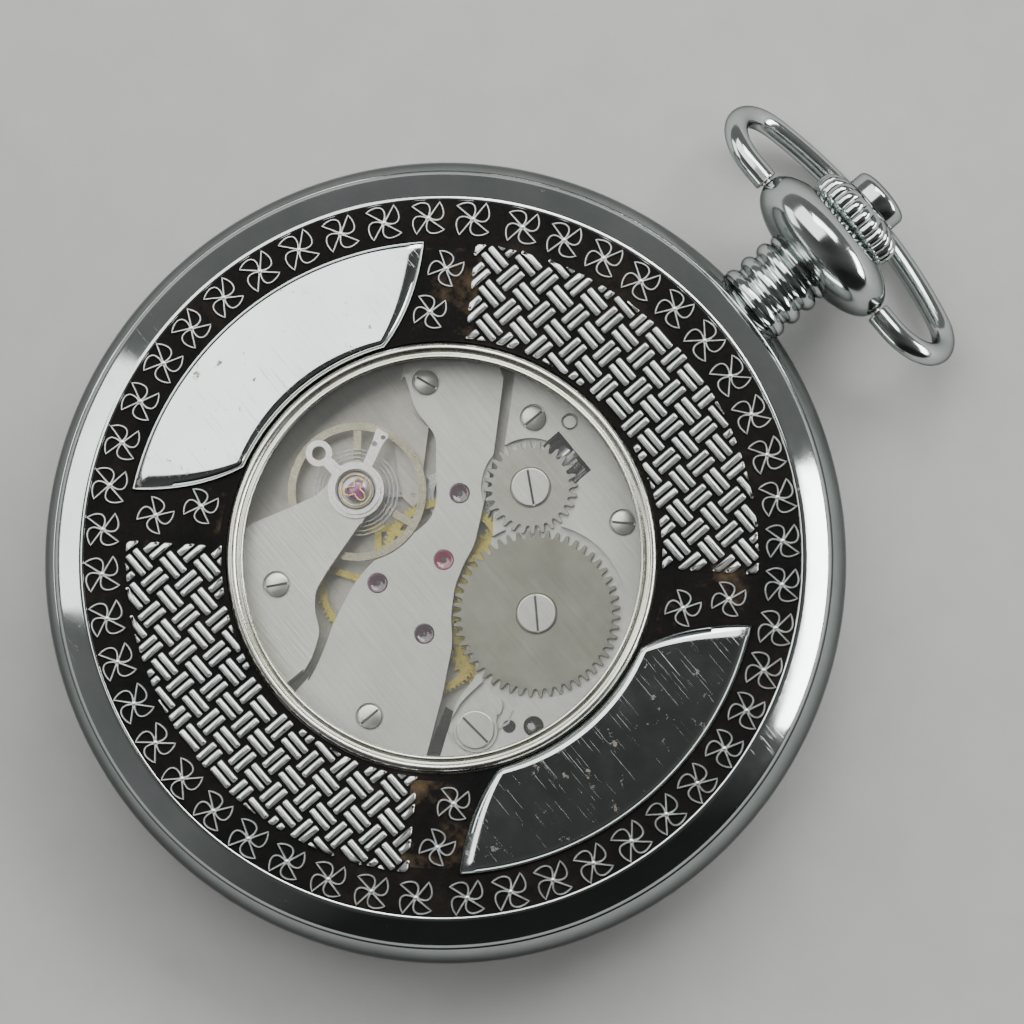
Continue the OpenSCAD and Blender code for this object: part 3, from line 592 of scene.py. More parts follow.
def weave_bars():
    """Basket weave of paired bars on the panels towards and away from the pendant."""
    cell, bar_l, bar_w, spread, row_shift = 1.394, 1.5, 0.375, 0.265, 0.43
    side_angle = 43.5
    rng = random.Random(4)
    shape = Shape()
    for panel in (0, 180):
        turn = Matrix.Rotation(math.radians(panel + ORNAMENT_TURN), 2)
        for k in range(-11, 12):
            for j in range(6, 15):
                along_x = (k + j) % 2 == 0
                centre = (cell * k, cell * j - row_shift)
                for side in (-1, 1):
                    half = (bar_l / 2, bar_w / 2) if along_x else (bar_w / 2, bar_l / 2)
                    shift = (0, side * spread) if along_x else (side * spread, 0)
                    x, y = centre[0] + shift[0], centre[1] + shift[1]
                    bar = [(x - half[0], y - half[1]), (x + half[0], y - half[1]),
                           (x + half[0], y + half[1]), (x - half[0], y + half[1])]
                    bar = clip_to_panel(bar, (x, y), side_angle)
                    if len(bar) >= 3 and area(bar) > 0.05:
                        bar = [tuple(turn @ Vector(p)) for p in rounded(bar, 0.1, 3)]
                        add_bar(shape, bar, 0.2 + rng.uniform(-0.012, 0.012))
    place(make("weave_bars", shape, 50), "case", "case_chrome", RAISED_SILVER, "rear_cover")


def clip_to_panel(bar, centre, side_angle):
    """Cuts a bar at the panel's outer arc, inner arc and two straight sides."""
    r = math.hypot(*centre)
    out = (centre[0] / r, centre[1] / r)
    bar = clip(bar, out, PANEL_OUT)
    bar = clip(bar, (-out[0], -out[1]), -(PANEL_IN + 0.08))
    for side in (-1, 1):
        a = math.radians(side_angle)
        bar = clip(bar, (side * math.cos(a), -math.sin(a)), 0.0)
        if len(bar) < 3:
            return bar
    return bar


def add_bar(shape, outline, height):
    """A bar with a softly crowned top."""
    centre = sum((Vector(p) for p in outline), Vector((0, 0))) / len(outline)
    reach = []
    for a, b in zip(outline, outline[1:] + outline[:1]):
        way = (Vector(b) - Vector(a)).normalized()
        reach.append((centre - Vector(a)).dot(Vector((-way.y, way.x))))
    widest = min(0.16, 0.8 * min(reach))
    rings = []
    for move, rise in ((-0.02, -0.12), (0.0, 0.5), (0.14, 0.78), (0.42, 0.95), (1.0, 1.0)):
        ring = inset(outline, move * widest)
        rings.append([(x, y, field_z(math.hypot(x, y)) + rise * height) for x, y in ring])
    shape.rings(rings)


def pinwheel(shape, centre, lean, size):
    """Four closed petals: a straight spoke out to the tip, and a curve back to the hub."""
    for quarter in range(4):
        start = lean + 90 * quarter
        tip = polar(size, start)
        out = polar(size * 0.98, start - 38)
        back = polar(size * 0.86, start - 75)
        curve = bezier([tip, out, back, polar(0.1 * size, start - 60)], 12)
        hub = polar(0.1 * size, start - 10)
        spoke = [(hub[0] + (tip[0] - hub[0]) * t / 5, hub[1] + (tip[1] - hub[1]) * t / 5) for t in range(5)]
        path = [(centre[0] + x, centre[1] + y) for x, y in spoke + curve]
        ridge(shape, path, 0.14, 0.17, 0.015)
    hub_rings = []
    for r, rise in ((0.2, -0.02), (0.17, 0.1), (0.1, 0.155)):
        z = field_z(math.hypot(*centre)) + rise
        hub_rings.append([(*polar(r, a * 36, centre), z) for a in range(10)])
    shape.rings(hub_rings)


def pinwheels():
    """The ring of pinwheels in the field, and the pairs between the panels."""
    rng = random.Random(9)
    shape = Shape()
    for start, end, count in PINWHEEL_RUNS:
        for i in range(count):
            angle = start + (end - start) * i / (count - 1) + ORNAMENT_TURN
            lean = angle + 54 + rng.uniform(-3, 3)
            pinwheel(shape, polar(19.7, angle), lean, 1.18 + rng.uniform(-0.03, 0.03))
    for side in (0, 180):
        for sign in (-1, 1):
            for radius, offset in ((16.75, 41.2), (14.25, 37.6)):
                angle = side + 180 + sign * offset + ORNAMENT_TURN
                pinwheel(shape, polar(radius, angle), angle + 30 + rng.uniform(-12, 12), 1.1)
    place(make("pinwheels", shape, 60), "case", "case_chrome", RAISED_SILVER, "rear_cover")


def panel_side(sign):
    """Side of a polished panel from its inner to its outer corner, for the panel that faces +Y."""
    inner = polar(PANEL_IN, 90 - sign * 25)
    outer = polar(PANEL_OUT, 90 - sign * 37)
    return bezier([inner, (sign * 8.3, 12.1), outer], 32)


def polished_panels():
    """Two smooth domed panels and the raised line around each."""
    rows = panel_side(1)
    across, crown, lip, lean = 48, 0.05, 0.3, 0.24
    depth = PANEL_OUT - PANEL_IN
    for name, degrees in (("left", 90), ("right", -90)):
        turn = Matrix.Rotation(math.radians(degrees + ORNAMENT_TURN), 2)
        top, low = [], []
        for v, (sx, sy) in enumerate(rows):
            share = v / (len(rows) - 1)
            side_r, side_a = math.hypot(sx, sy), math.atan2(sx, sy)
            mid_r = PANEL_IN + depth * share
            for u in range(across + 1):
                q = 2 * u / across - 1
                r = mid_r + (side_r - mid_r) * q * q
                x, y = r * math.sin(q * side_a), r * math.cos(q * side_a)
                from_edge = min((1 - abs(q)) * sx, share * depth, (1 - share) * depth)
                rise = 1 - (1 - min(1, from_edge / lip)) ** 2
                dome = crown * (1 - q * q) * (4 * share * (1 - share))
                p = turn @ Vector((x, y))
                height = rise * (0.14 + lean * (1 - share)) + dome
                top.append((p.x, p.y, field_z(r) + 0.05 + height))
                low.append((p.x, p.y, field_z(r) - 0.08))
        panel = sheet(f"polished_panel_{name}", top, low, len(rows), across + 1)
        place(panel, "case", "case_chrome", MIRROR_PANEL, "rear_cover")
        line = Shape()
        ridge(line, [tuple(turn @ Vector(p)) for p in panel_outline()], 0.2, 0.24, 0.02)
        place(make(f"panel_line_{name}", line, 60), "case", "case_chrome", CHROME_CLEAN, "rear_cover")


def panel_outline():
    """Closed outline of the panel that faces +Y."""
    left, right = panel_side(-1), panel_side(1)
    outer = arc((0, 0), PANEL_OUT, 53, 127, 36)
    inner = arc((0, 0), PANEL_IN, 115, 65, 24)
    return right + outer[1:-1] + list(reversed(left)) + inner[1:-1]


def sheet(name, top, low, rows, columns):
    """A closed solid between two grids of points."""
    def index(v, u, layer):
        return layer * rows * columns + v * columns + u
    faces = []
    for v in range(rows - 1):
        for u in range(columns - 1):
            faces.append([index(*c, 0) for c in ((v, u), (v, u + 1), (v + 1, u + 1), (v + 1, u))])
            faces.append([index(*c, 1) for c in ((v, u), (v + 1, u), (v + 1, u + 1), (v, u + 1))])
    border = [(0, u) for u in range(columns)] + [(v, columns - 1) for v in range(1, rows)]
    border += [(rows - 1, u) for u in range(columns - 2, -1, -1)] + [(v, 0) for v in range(rows - 2, 0, -1)]
    for a, b in zip(border, border[1:] + border[:1]):
        faces.append([index(*a, 0), index(*a, 1), index(*b, 1), index(*b, 0)])
    shape = Shape()
    shape.add(top + low, faces)
    return make(name, shape, 60)


def window():
    """Beaded window ring and the crystal in it."""
    profile = [(11.5, 12.1), (11.52, 12.2), (11.6, 12.27), (11.7, 12.26), (11.78, 12.17), (11.86, 12.13),
               (11.94, 12.2), (12.06, 12.34), (12.2, 12.36), (12.34, 12.26), (12.42, 12.1), (12.44, 11.9),
               (12.46, 11.3), (11.96, 11.3), (11.95, 12.08)]
    place(make("window_bezel", turned(profile, 256), 50), "case", "case_chrome", WINDOW_METAL, "window_ring")
    pane = [(0, 11.42), (11.7, 11.42), (11.85, 11.5), (11.9, 11.62), (11.9, 11.95), (11.8, 12.04),
            (8, 12.06), (0, 12.07)]
    place(make("rear_glass", turned(pane, 192), 30), "case", "crystal", GLASS, "rear_crystal")


# ---------- case, lid and front ----------

def case_wall():
    """Bulged case middle with its seams, its inner wall, the hinge knuckles and the pendant's seat."""
    profile = [(22.5, 2.62)] + arc((14.6, 6.5), 8.9, -25.2, 25.2, 28)
    profile += [(22.5, 10.38), (20.6, 10.38), (20.6, 9.9), (18.02, 9.9), (18.02, 9.35), (20.6, 9.35),
                (20.6, 2.95), (21.45, 2.95), (21.45, 2.62)]
    wall = make("case_wall", turned(profile, 256), 30)
    stem_hole = make("cutter", turned([(0, 19), (1.64, 19), (1.64, 25), (0, 25)], 48, on_stem))
    seat = make("cutter", turned([(0, 22.45), (2.3, 22.45), (2.3, 26), (0, 26)], 64, on_stem))
    latch_slot = block((-1.4, 19, 1.6), (1.4, 21.95, 4.8))
    knuckle_gap = make("cutter", knuckle(-1.44, 1.44, 0.78))
    cut(wall, [stem_hole, seat, latch_slot, knuckle_gap])
    place(wall, "case", "case_chrome", CHROME, "case_middle")
    for name, x0, x1 in (("left", -3.6, -1.5), ("right", 1.5, 3.6)):
        ear = bevel(make(f"hinge_ear_{name}", knuckle(x0, x1, 0.7, 0.31)), 0.06)
        place(ear, "case", "case_chrome", CHROME, "case_middle")


def knuckle(x0, x1, r, bore=0):
    """A hinge barrel along X on the hinge axis."""
    profile = [(bore, x0), (r, x0), (r, x1), (bore, x1)]
    return turned(profile, 48, lambda p: (p[2], HINGE_Y + p[0], HINGE_Z + p[1]))


def lid():
    """Hunter lid: bevelled outside with turned steps, hollow inside, with its hinge barrel."""
    profile = [(0, 0.0), (15.6, 0.0), (15.7, 0.06), (15.95, 0.06), (16.05, 0.0), (17.0, 0.0),
               (17.5, 0.1), (21.9, 1.7), (22.4, 1.95), (22.58, 2.12), (22.6, 2.3), (22.58, 2.47), (22.5, 2.5),
               (21.98, 2.5), (21.92, 2.38), (17.1, 0.72), (16.6, 0.6), (0, 0.6)]
    shell = make("lid_shell", turned(profile, 256), 30)
    gaps = [make("cutter", knuckle(x0, x1, 0.78)) for x0, x1 in ((-3.7, -1.42), (1.42, 3.7))]
    cut(shell, gaps)
    place(shell, "lid", "case_chrome", CHROME, "front_cover")
    barrel = bevel(make("lid_knuckle", knuckle(-1.4, 1.4, 0.7, 0.34)), 0.06)
    place(barrel, "lid", "case_chrome", CHROME, "front_cover")


def front():
    """Bezel and crystal over the dial."""
    profile = [(18.3, 1.5), (18.5, 1.47), (19.55, 1.78), (20.6, 2.25), (21.2, 2.5), (21.38, 2.62),
               (21.38, 2.9), (20.55, 2.9), (20.4, 3.2), (19.2, 3.2), (19.2, 1.96), (18.3, 1.95)]
    bezel = make("front_bezel_ring", turned(profile, 256), 35)
    place(bezel, "case", "case_chrome", CHROME_CLEAN, "front_bezel")
    pane = [(0, 2.0), (18.9, 2.0), (19.1, 2.06), (19.17, 2.14), (19.17, 2.38), (19.1, 2.44), (0, 2.45)]
    place(make("front_glass", turned(pane, 192), 30), "case", "crystal", GLASS, "front_crystal")


# ---------- pendant, crown and bow ----------

def pendant_piece():
    """Ribbed neck, round bulb and small cup, bored for the crown's sleeve."""
    profile = [(1.64, 22.5), (2.2, 22.5), (2.26, 22.58), (2.2, 23.1)]
    for rib in range(3):
        profile += arc((1.9, 23.65 + 1.2 * rib), 0.52, -75, 75, 10)
    profile += [(1.98, 26.6)] + arc((1.95, 26.95), 0.35, -70, 60, 5)
    for a in range(-66, 45, 3):
        c, s = math.cos(math.radians(a)), math.sin(math.radians(a))
        profile.append((4.94 * c ** 0.85, 28.85 + 2.05 * math.copysign(abs(s) ** 0.85, s)))
    profile += [(3.5, 30.46), (3.38, 30.5), (3.2, 30.48), (2.95, 30.28), (2.5, 30.2), (1.64, 30.2)]
    piece = make("pendant_body", turned(profile, 160, on_stem), 75)
    place(piece, "case", "case_chrome", CHROME_CLEAN, "pendant")


def crown_piece():
    """Fluted crown with rounded shoulders and the recess for the button."""
    flutes, samples = 24, 14
    count = flutes * samples
    outer = [(30.31, 0.62, 0.0), (30.36, 0.76, 0.1), (30.5, 0.87, 0.5), (30.68, 0.94, 0.9),
             (30.9, 0.985, 1.0), (31.3, 1.0, 1.0), (31.75, 0.985, 1.0), (31.98, 0.94, 0.9),
             (32.18, 0.87, 0.55), (32.34, 0.78, 0.2), (32.44, 0.7, 0.0), (32.47, 0.64, 0.0)]
    rings = []
    for y, scale, depth in outer:
        ring = []
        for i in range(count):
            a = 2 * math.pi * i / count
            wave = abs(math.sin(0.5 * flutes * a)) ** 0.7
            r = 3.13 * scale - 0.26 * depth * (1 - wave)
            ring.append(on_stem((r * math.cos(a), r * math.sin(a), y)))
        rings.append(ring)
    for y, r in ((32.42, 1.92), (31.28, 1.9), (31.28, 0.53), (30.31, 0.53)):
        rings.append([on_stem((*polar(r, 360 * i / count), y)) for i in range(count)])
    shape = Shape()
    shape.rings(rings, closed_along=True)
    place(make("crown_knob_fluted", shape, 40), "crown_knob", "case_chrome", CHROME_CLEAN, "crown")


def button_piece():
    """Domed push piece in the middle of the crown."""
    profile = [(0, 32.06), (1.78, 32.06), (1.84, 32.12), (1.84, 33.28), (1.8, 33.42), (1.7, 33.54),
               (1.5, 33.65), (1.15, 33.75), (0.6, 33.82), (0, 33.84)]
    cap = make("button_cap", turned(profile, 96, on_stem), 50)
    place(cap, "button", "case_chrome", CHROME_CLEAN, "push_button")


def bow_piece():
    """Oval bow of round wire, hanging down from its two pivots."""
    half_w, height, corner, wire = 9.05, 7.1, 2.8, 0.72
    cx = half_w - corner
    drop = (cx ** 2 + corner ** 2 - (height - corner) ** 2) / (2 * corner - 2 * (height - corner))
    lean = math.degrees(math.atan2(corner - drop, cx))
    path = [(5.04, 0), (5.5, 0), (5.95, 0)]
    path += arc((cx, corner), corner, -90, lean, 30)
    path += arc((0, drop), height - drop, lean, 180 - lean, 40)[1:-1]
    path += arc((-cx, corner), corner, 180 - lean, 270, 30)
    path += [(-5.95, 0), (-5.5, 0), (-5.04, 0)]
    spots = []
    for x, v in path:
        spots.append((x, BOW_Y + v * math.cos(BOW_HANG), STEM_Z - v * math.sin(BOW_HANG)))
    shape = Shape()
    tube(shape, spots, lambda t: wire - 0.06 * math.sin(math.pi * t), 32)
    piece = bevel(make("bow_wire", shape, 60), 0.12, 3, 60)
    place(piece, "bow_ring", "case_chrome", CHROME_CLEAN, "bow")


# ---------- movement ----------

TRAIN_EDGE = [(-6.25, 9.85), (-4.35, 7.8), (-2.7, 6), (-0.75, 3.55), (0.5, 1.9), (0.9, 0.8), (1.6, -0.5),
              (2.8, -1.8), (4.1, -2.75), (5.1, -4), (6, -5.1), (8.35, -8.4)]
TRAIN_LEFT = [(0.45, -10.8), (0, -9.6), (-0.7, -8.3), (-1.35, -7.2), (-2.3, -4.9), (-2.6, -3.2), (-2.3, -0.5),
              (-2.3, 0.95), (-2.9, 1.9), (-4.6, 3.25), (-5.85, 4.3), (-7.9, 4.35), (-9.9, 5.25)]
BARREL_EDGE = [(-5.9, 10.4), (-3.9, 8.2), (-2.3, 6.4), (-1.5, 5.3), (-0.2, 3.9), (0.7, 3.2), (1.9, 1.4),
               (2.7, -0.9), (4.7, -2.3), (6.35, -2.6), (6.8, -4.7), (9, -8)]


def screw_seats(centres):
    return [drum(c, SCREW_SEAT_R, 8.6, 10) for c in centres]


def bridge_foot(name, start, end, steps, node):
    """Curved foot under the edge of a bridge, between two angles."""
    outline = arc((0, 0), 11.6, start, end, steps) + arc((0, 0), 12.28, end, start, steps)
    place(slab(name, outline, FOOT_LOW, BRIDGE_LOW), "case", "nickel", PLATE, node)


def train_bridge_piece():
    outline = rounded(TRAIN_EDGE, 0.5) + arc((0, 0), MOVEMENT_R, -46.6, -87.8, 16)
    outline += rounded(TRAIN_LEFT, 0.5) + arc((0, 0), MOVEMENT_R, 150.8, 125.8, 12)
    piece = slab("train_bridge_plate", outline, BRIDGE_LOW, BRIDGE_TOP)
    cutters = [drum(c, 0.6, 8.3, 10) for c in ((0, 0), SECOND, THIRD, ESCAPE)]
    cutters += screw_seats(TRAIN_SCREWS)
    cutters += [drum(CROWN_WHEEL, 2.88, RECESS, 10), drum(BALANCE, 4.15, 7, 10)]
    bevel(cut(piece, cutters), 0.07)
    place(piece, "case", "nickel", NICKEL, "train_bridge")
    for name, start, end in (("a", 126, 146), ("b", 274, 306)):
        bridge_foot(f"train_bridge_foot_{name}", start, end, 8, "train_bridge")


def barrel_bridge_piece():
    outline = rounded(BARREL_EDGE, 0.5) + arc((0, 0), MOVEMENT_R, -41.8, 119.7, 60)
    piece = slab("barrel_bridge_plate", outline, BRIDGE_LOW, BRIDGE_TOP)
    recess = [(6.8, -1.4), (9.2, -2), (10, -4), (9.6, -6.2), (7.8, -6.4), (7, -4.6)]
    cutters = [drum((BARREL[0], BARREL[1] + 0.14), 5.16, RECESS, 10, 120),
               drum(CROWN_WHEEL, 2.88, RECESS, 10), drum(CLICK, 1.56, 8.6, 10),
               slab("cutter", rounded(recess, 0.5), RECESS, 10), block((-1.45, 8.7, 6), (1.5, 9.95, 12)),
               drum(DOWEL, 0.5, 8.3, 10), drum(LARGE_HOLE, 0.6, 8, 10), drum(SMALL_HOLE, 0.4, 8, 10)]
    cutters += screw_seats(BARREL_SCREWS)
    bevel(cut(piece, cutters), 0.07)
    place(piece, "case", "nickel", NICKEL, "barrel_bridge")
    # A black sheet in the gap below the bridges: painted shade.
    gap = slab("bridge_gap_painted_shade", [(6.6, -5.4), (7.2, -5.2), (9.4, -8.2), (8.5, -8.9)], 7.9, 8.05)
    place(gap, "case", "cover_black", FIELD, "barrel_bridge")
    bridge_foot("barrel_bridge_foot", 32, 76, 16, "barrel_bridge")
    pin = make("dowel_pin", turned([(0, 8.35), (0.4, 8.35), (0.4, 8.93), (0.35, 8.97), (0, 8.97)], 40,
                                   at(DOWEL)))
    place(even(pin), "case", "polished_steel", SCREW_STEEL, "barrel_bridge")
    # Black discs at the bottoms of the two holes: painted shade in the holes.
    for name, centre, r in (("small", SMALL_HOLE, 0.38), ("large", LARGE_HOLE, 0.58)):
        ground = [(0, 8.04), (r, 8.04), (r, 8.14), (0, 8.14)]
        bottom = make(f"hole_painted_shade_{name}", turned(ground, 40, at(centre)))
        place(bottom, "case", "cover_black", FIELD, "barrel_bridge")
    stub = make("click_spring_stub", turned([(0, 8.1), (0.3, 8.1), (0.3, 8.56), (0.2, 8.66), (0, 8.66)], 32,
                                            at((10.7, -2.32))))
    place(even(stub), "case", "polished_steel", STEEL, "barrel_bridge")


def balance_cock_piece():
    neck = [(-4.75, -2.15), (-4.3, -3.8), (-3.85, -5.45), (-3.35, -6.9), (-2.6, -7.6), (-1.35, -8.2),
            (-0.5, -9.5), (-0.1, -10.65)]
    left = [(-8.6, -6.75), (-8.1, -5.15), (-7.6, -3.3)]
    outline = rounded(neck, 0.4) + arc((0, 0), MOVEMENT_R, 268.5, 223.5, 14)
    outline += left + arc(BALANCE, 1.62, 215, -20, 30)
    arm = slab("balance_cock_arm", outline, COCK_LOW, COCK_TOP)
    cutters = [drum(BALANCE, 1.14, 9, 12), drum(COCK_SCREW, SCREW_SEAT_R, 9.5, 12)]
    bevel(cut(arm, cutters), 0.07)
    place(arm, "case", "nickel", NICKEL_COCK, "balance_cock")
    foot_outline = [(-4.2, -6.6), (-3.4, -7.1), (-2.6, -7.8), (-1.4, -8.4), (-0.6, -9.6), (-0.25, -10.65)]
    foot_outline += arc((0, 0), MOVEMENT_R - 0.05, 268.3, 224, 14) + [(-8.8, -7)]
    foot = slab("balance_cock_foot", foot_outline, FOOT_LOW, COCK_LOW)
    cut(foot, [drum(BALANCE, 4.3, 7, 9.1), drum(THIRD, 4, 6.5, 7.6)])
    place(foot, "case", "nickel", NICKEL_COCK, "balance_cock")


def slotted(name, centre, r, z_head, z_top, slot_angle, body, *nodes):
    """A screw with a flat, edged head, its slot cut in, and a near-black bar in the slot as painted shade."""
    profile = [(0, 8.13), (0.4, 8.13), (0.4, z_head), (r - 0.03, z_head), (r, z_head + 0.03),
               (r, z_top - 0.06), (r - 0.02, z_top - 0.02), (r - 0.06, z_top), (0, z_top)]
    piece = make(name, turned(profile, 64, at(centre)))
    spot = Matrix.Translation((centre[0] * MM, centre[1] * MM, 0))
    spot = spot @ Matrix.Rotation(math.radians(slot_angle), 4, "Z")
    slot_box = block((-r - 1, -0.075, z_top - 0.14), (r + 1, 0.075, z_top + 1))
    slot_box.matrix_world = spot
    even(cut(piece, [slot_box]))
    # A near-black bar just above the slot's floor: painted shade in the slot.
    half = r - 0.08
    ground = block((-half, -0.07, z_top - 0.15), (half, 0.07, z_top - 0.125))
    ground.name = f"{name}_slot"
    ground.data.transform(spot)
    place(ground, body, "polished_steel", PAINTED_SHADE_STEEL, *nodes)
    return place(piece, body, "polished_steel", SCREW_STEEL, *nodes)


def screws():
    for i, (centre, slot_angle) in enumerate(zip(TRAIN_SCREWS + BARREL_SCREWS, (20, 90, 90, 45))):
        slotted(f"bridge_screw_{i}", centre, 0.71, 8.62, 8.98, slot_angle, "case", "bridge_screws")
    slotted("cock_screw", COCK_SCREW, 0.7, 9.52, 9.88, 60, "case", "bridge_screws")
    slotted("ratchet_screw_head", BARREL, 1.12, 8.83, 9.16, -35, "ratchet_unit", "ratchet_screw")
    slotted("crown_wheel_screw_head", CROWN_WHEEL, 1.1, 8.83, 9.16, -30, "case", "crown_wheel_screw")
    slotted("click_screw_head", CLICK, 1.1, 8.87, 9.14, 5, "case", "click_screw")


def jewels():
    """Dished ruby bearings, each with the end of its arbor painted near-black as the shade in its hole."""
    profile = [(0, 8.64), (0.6, 8.64), (0.6, 8.9), (0.57, 8.94), (0.47, 8.95), (0.4, 8.92), (0.22, 8.86),
               (0, 8.86)]
    pivot = [(0, 8.8), (0.16, 8.8), (0.16, 8.9), (0.13, 8.93), (0, 8.93)]
    # All bearings but the centre one take the darker ruby, as painted shade.
    for name, centre, stone in (("centre", (0, 0), RUBY), ("second", SECOND, SHADED_RUBY),
                                ("third", THIRD, SHADED_RUBY), ("escape", ESCAPE, SHADED_RUBY)):
        bearing = make(f"ruby_{name}", turned(profile, 48, at(centre)), 40)
        place(bearing, "case", "ruby", stone, "train_jewels")
        # The arbor's end in near-black steel: painted shade in the jewel's hole.
        arbor_end = make(f"pivot_{name}", turned(pivot, 24, at(centre)))
        place(arbor_end, "case", "polished_steel", PAINTED_SHADE_STEEL, "train_jewels")


def toothed(teeth, module, phase, tip, root, centre):
    """Outline of a winding wheel's teeth, each with a flat tip and curved flanks."""
    pitch_r = teeth * module / 2
    flank = [(-0.5, -root), (-0.37, -0.94 * root), (-0.29, -0.7 * root), (-0.2, 0.0), (-0.12, tip),
             (0.12, tip), (0.2, 0.0), (0.29, -0.7 * root), (0.37, -0.94 * root)]
    points = []
    for i in range(teeth):
        for part, rise in flank:
            points.append(polar(pitch_r + rise * module, phase + (i + part) * 360 / teeth, centre))
    return points


def winding_wheels():
    """Ratchet wheel and crown wheel with bevelled teeth."""
    distance = math.hypot(BARREL[0] - CROWN_WHEEL[0], BARREL[1] - CROWN_WHEEL[1])
    module = 2 * distance / (CROWN_TEETH + RATCHET_TEETH)
    to_crown = math.degrees(math.atan2(CROWN_WHEEL[1] - BARREL[1], CROWN_WHEEL[0] - BARREL[0]))
    tip, root = 0.65, 1.9
    for name, body, centre, teeth, phase, bore, seat, look in (
            ("ratchet_wheel", "ratchet_unit", BARREL, RATCHET_TEETH, to_crown + 180 / RATCHET_TEETH,
             0.5, 1.2, RATCHET_STEEL),
            ("crown_wheel", "crown_wheel_unit", CROWN_WHEEL, CROWN_TEETH, to_crown + 180,
             0.56, 1.18, WHEEL_STEEL)):
        outline = toothed(teeth, module, phase, tip, root, centre)
        wheel = slab(f"{name}_teeth", outline, WHEEL_LOW, WHEEL_TOP)
        cut(wheel, [drum(centre, bore, 8, 9.5), drum(centre, seat, WHEEL_SEAT, 9.5)])
        place(bevel(wheel, 0.03, 2, 50), body, "polished_steel", look, name)


def click_piece():
    """Click with its round hub and its beak in the ratchet's teeth."""
    beak = [(9.05, -3.3), (8.75, -2.8), (8.3, -2.6), (7.7, -2.95), (8.02, -3.35), (7.9, -3.9)]
    arm = slab("click_arm", arc(CLICK, 1.3, 148, 430, 44) + rounded(beak, 0.18), 8.63, 8.84)
    cut(arm, [drum(CLICK, 0.54, 8, 10, 40)])
    place(bevel(arm, 0.03), "click_unit", "steel", SCREW_STEEL, "click")


def regulator_piece():
    """Index ring with its tail, and the stud carrier over it."""
    ring = drum(BALANCE, 1.64, 9.92, 10.08)
    tail = [polar(1.5, 104, BALANCE), polar(3.1, 110, BALANCE), polar(3.75, 108, BALANCE),
            polar(3.85, 122, BALANCE), polar(3.1, 121, BALANCE), polar(1.5, 126, BALANCE)]
    cut(ring, [slab("cutter", rounded(tail, 0.25), 9.92, 10.08)], "UNION")
    holes = [drum(polar(3.45, 112.5, BALANCE), 0.14, 9, 11, 24),
             drum(polar(2.9, 118, BALANCE), 0.16, 9, 11, 24)]
    cut(ring, [drum(BALANCE, 1.44, 9, 11)] + holes)
    ring.name = "regulator_index"
    place(bevel(ring, 0.06, 3), "regulator_unit", "polished_steel", BRIGHT_STEEL, "regulator")
    carrier = drum(BALANCE, 1.44, 10.1, 10.28)
    way = math.degrees(math.atan2(STUD[1] - BALANCE[1], STUD[0] - BALANCE[0]))
    arm = [polar(1.3, way - 16, BALANCE), polar(2.6, way - 7, BALANCE), polar(2.6, way + 7, BALANCE),
           polar(1.3, way + 16, BALANCE)]
    cut(carrier, [slab("cutter", arm, 10.1, 10.28), drum(STUD, 0.77, 10.1, 10.28, 40)], "UNION")
    cut(carrier, [drum(BALANCE, 1.22, 9, 11), drum(STUD, 0.41, 9, 11, 32)])
    carrier.name = "stud_arm"
    place(bevel(carrier, 0.035), "case", "polished_steel", BRIGHT_STEEL, "stud_carrier")


def shock_setting():
    """Gilt lyre spring over the balance's small cap jewel in its steel setting."""
    shape = Shape()
    rim = [(*polar(0.9, a * 7.5, BALANCE), 10.0) for a in range(48)]
    tube(shape, rim, 0.05, 8, True)
    lyre = [(*polar(0.48 + 0.24 * math.cos(math.radians(3 * a)), a, BALANCE), 10.0) for a in range(0, 360, 5)]
    tube(shape, lyre, 0.055, 8, True)
    place(make("lyre_spring", shape, 60), "case", "gold_spring", GOLD, "shock_spring")
    profile = [(0.5, 9.7), (1.08, 9.7), (1.08, 9.84), (1.02, 9.9), (0.94, 9.9), (0.86, 9.8), (0.62, 9.8),
               (0.5, 9.86)]
    setting = make("jewel_setting", turned(profile, 64, at(BALANCE)), 40)
    place(setting, "case", "polished_steel", STEEL, "cap_jewel")
    stone = [(0, 9.7), (0.52, 9.7), (0.52, 9.86), (0.45, 9.9), (0.25, 9.935), (0, 9.935)]
    place(make("cap_ruby", turned(stone, 48, at(BALANCE)), 60), "case", "ruby", VIOLET_RUBY, "cap_jewel")


# ---------- dial side ----------

def numerals():
    """Generic hour numbers and a minute track, printed on the front of the dial."""
    track = Shape()
    for i in range(60):
        length = 1.1 if i % 5 == 0 else 0.6
        width = 0.22 if i % 5 == 0 else 0.1
        a = math.radians(6 * i)
        out, side = Vector((math.sin(a), math.cos(a))), Vector((math.cos(a), -math.sin(a)))
        corners = [out * r + side * s for r, s in ((17.9, -width), (17.9, width), (17.9 - length, width),
                                                   (17.9 - length, -width))]
        track.prism([tuple(c) for c in corners], 3.685, 3.7)
    place(make("minute_track", track), "case", "blued_steel", DIAL_BLACK)
    for hour in range(1, 13):
        text = bpy.data.curves.new(f"numeral_{hour}", "FONT")
        text.body = str(hour)
        text.size = 3.4 * MM
        text.extrude = 0.008 * MM
        text.align_x = "CENTER"
        text.align_y = "CENTER"
        maker = add_object(f"numeral_{hour}_curve", text)
        bpy.context.view_layer.update()
        mesh = bpy.data.meshes.new_from_object(maker.evaluated_get(bpy.context.evaluated_depsgraph_get()))
        bpy.data.objects.remove(maker)
        spot = Vector((*polar(14.6, 90 + 30 * hour), 3.69)) * MM
        mesh.transform(Matrix.Translation(spot) @ Matrix.Rotation(math.pi, 4, "Y"))
        place(add_object(f"numeral_{hour}", mesh), "case", "blued_steel", DIAL_BLACK)


# ---------- CAD nodes that stay ----------

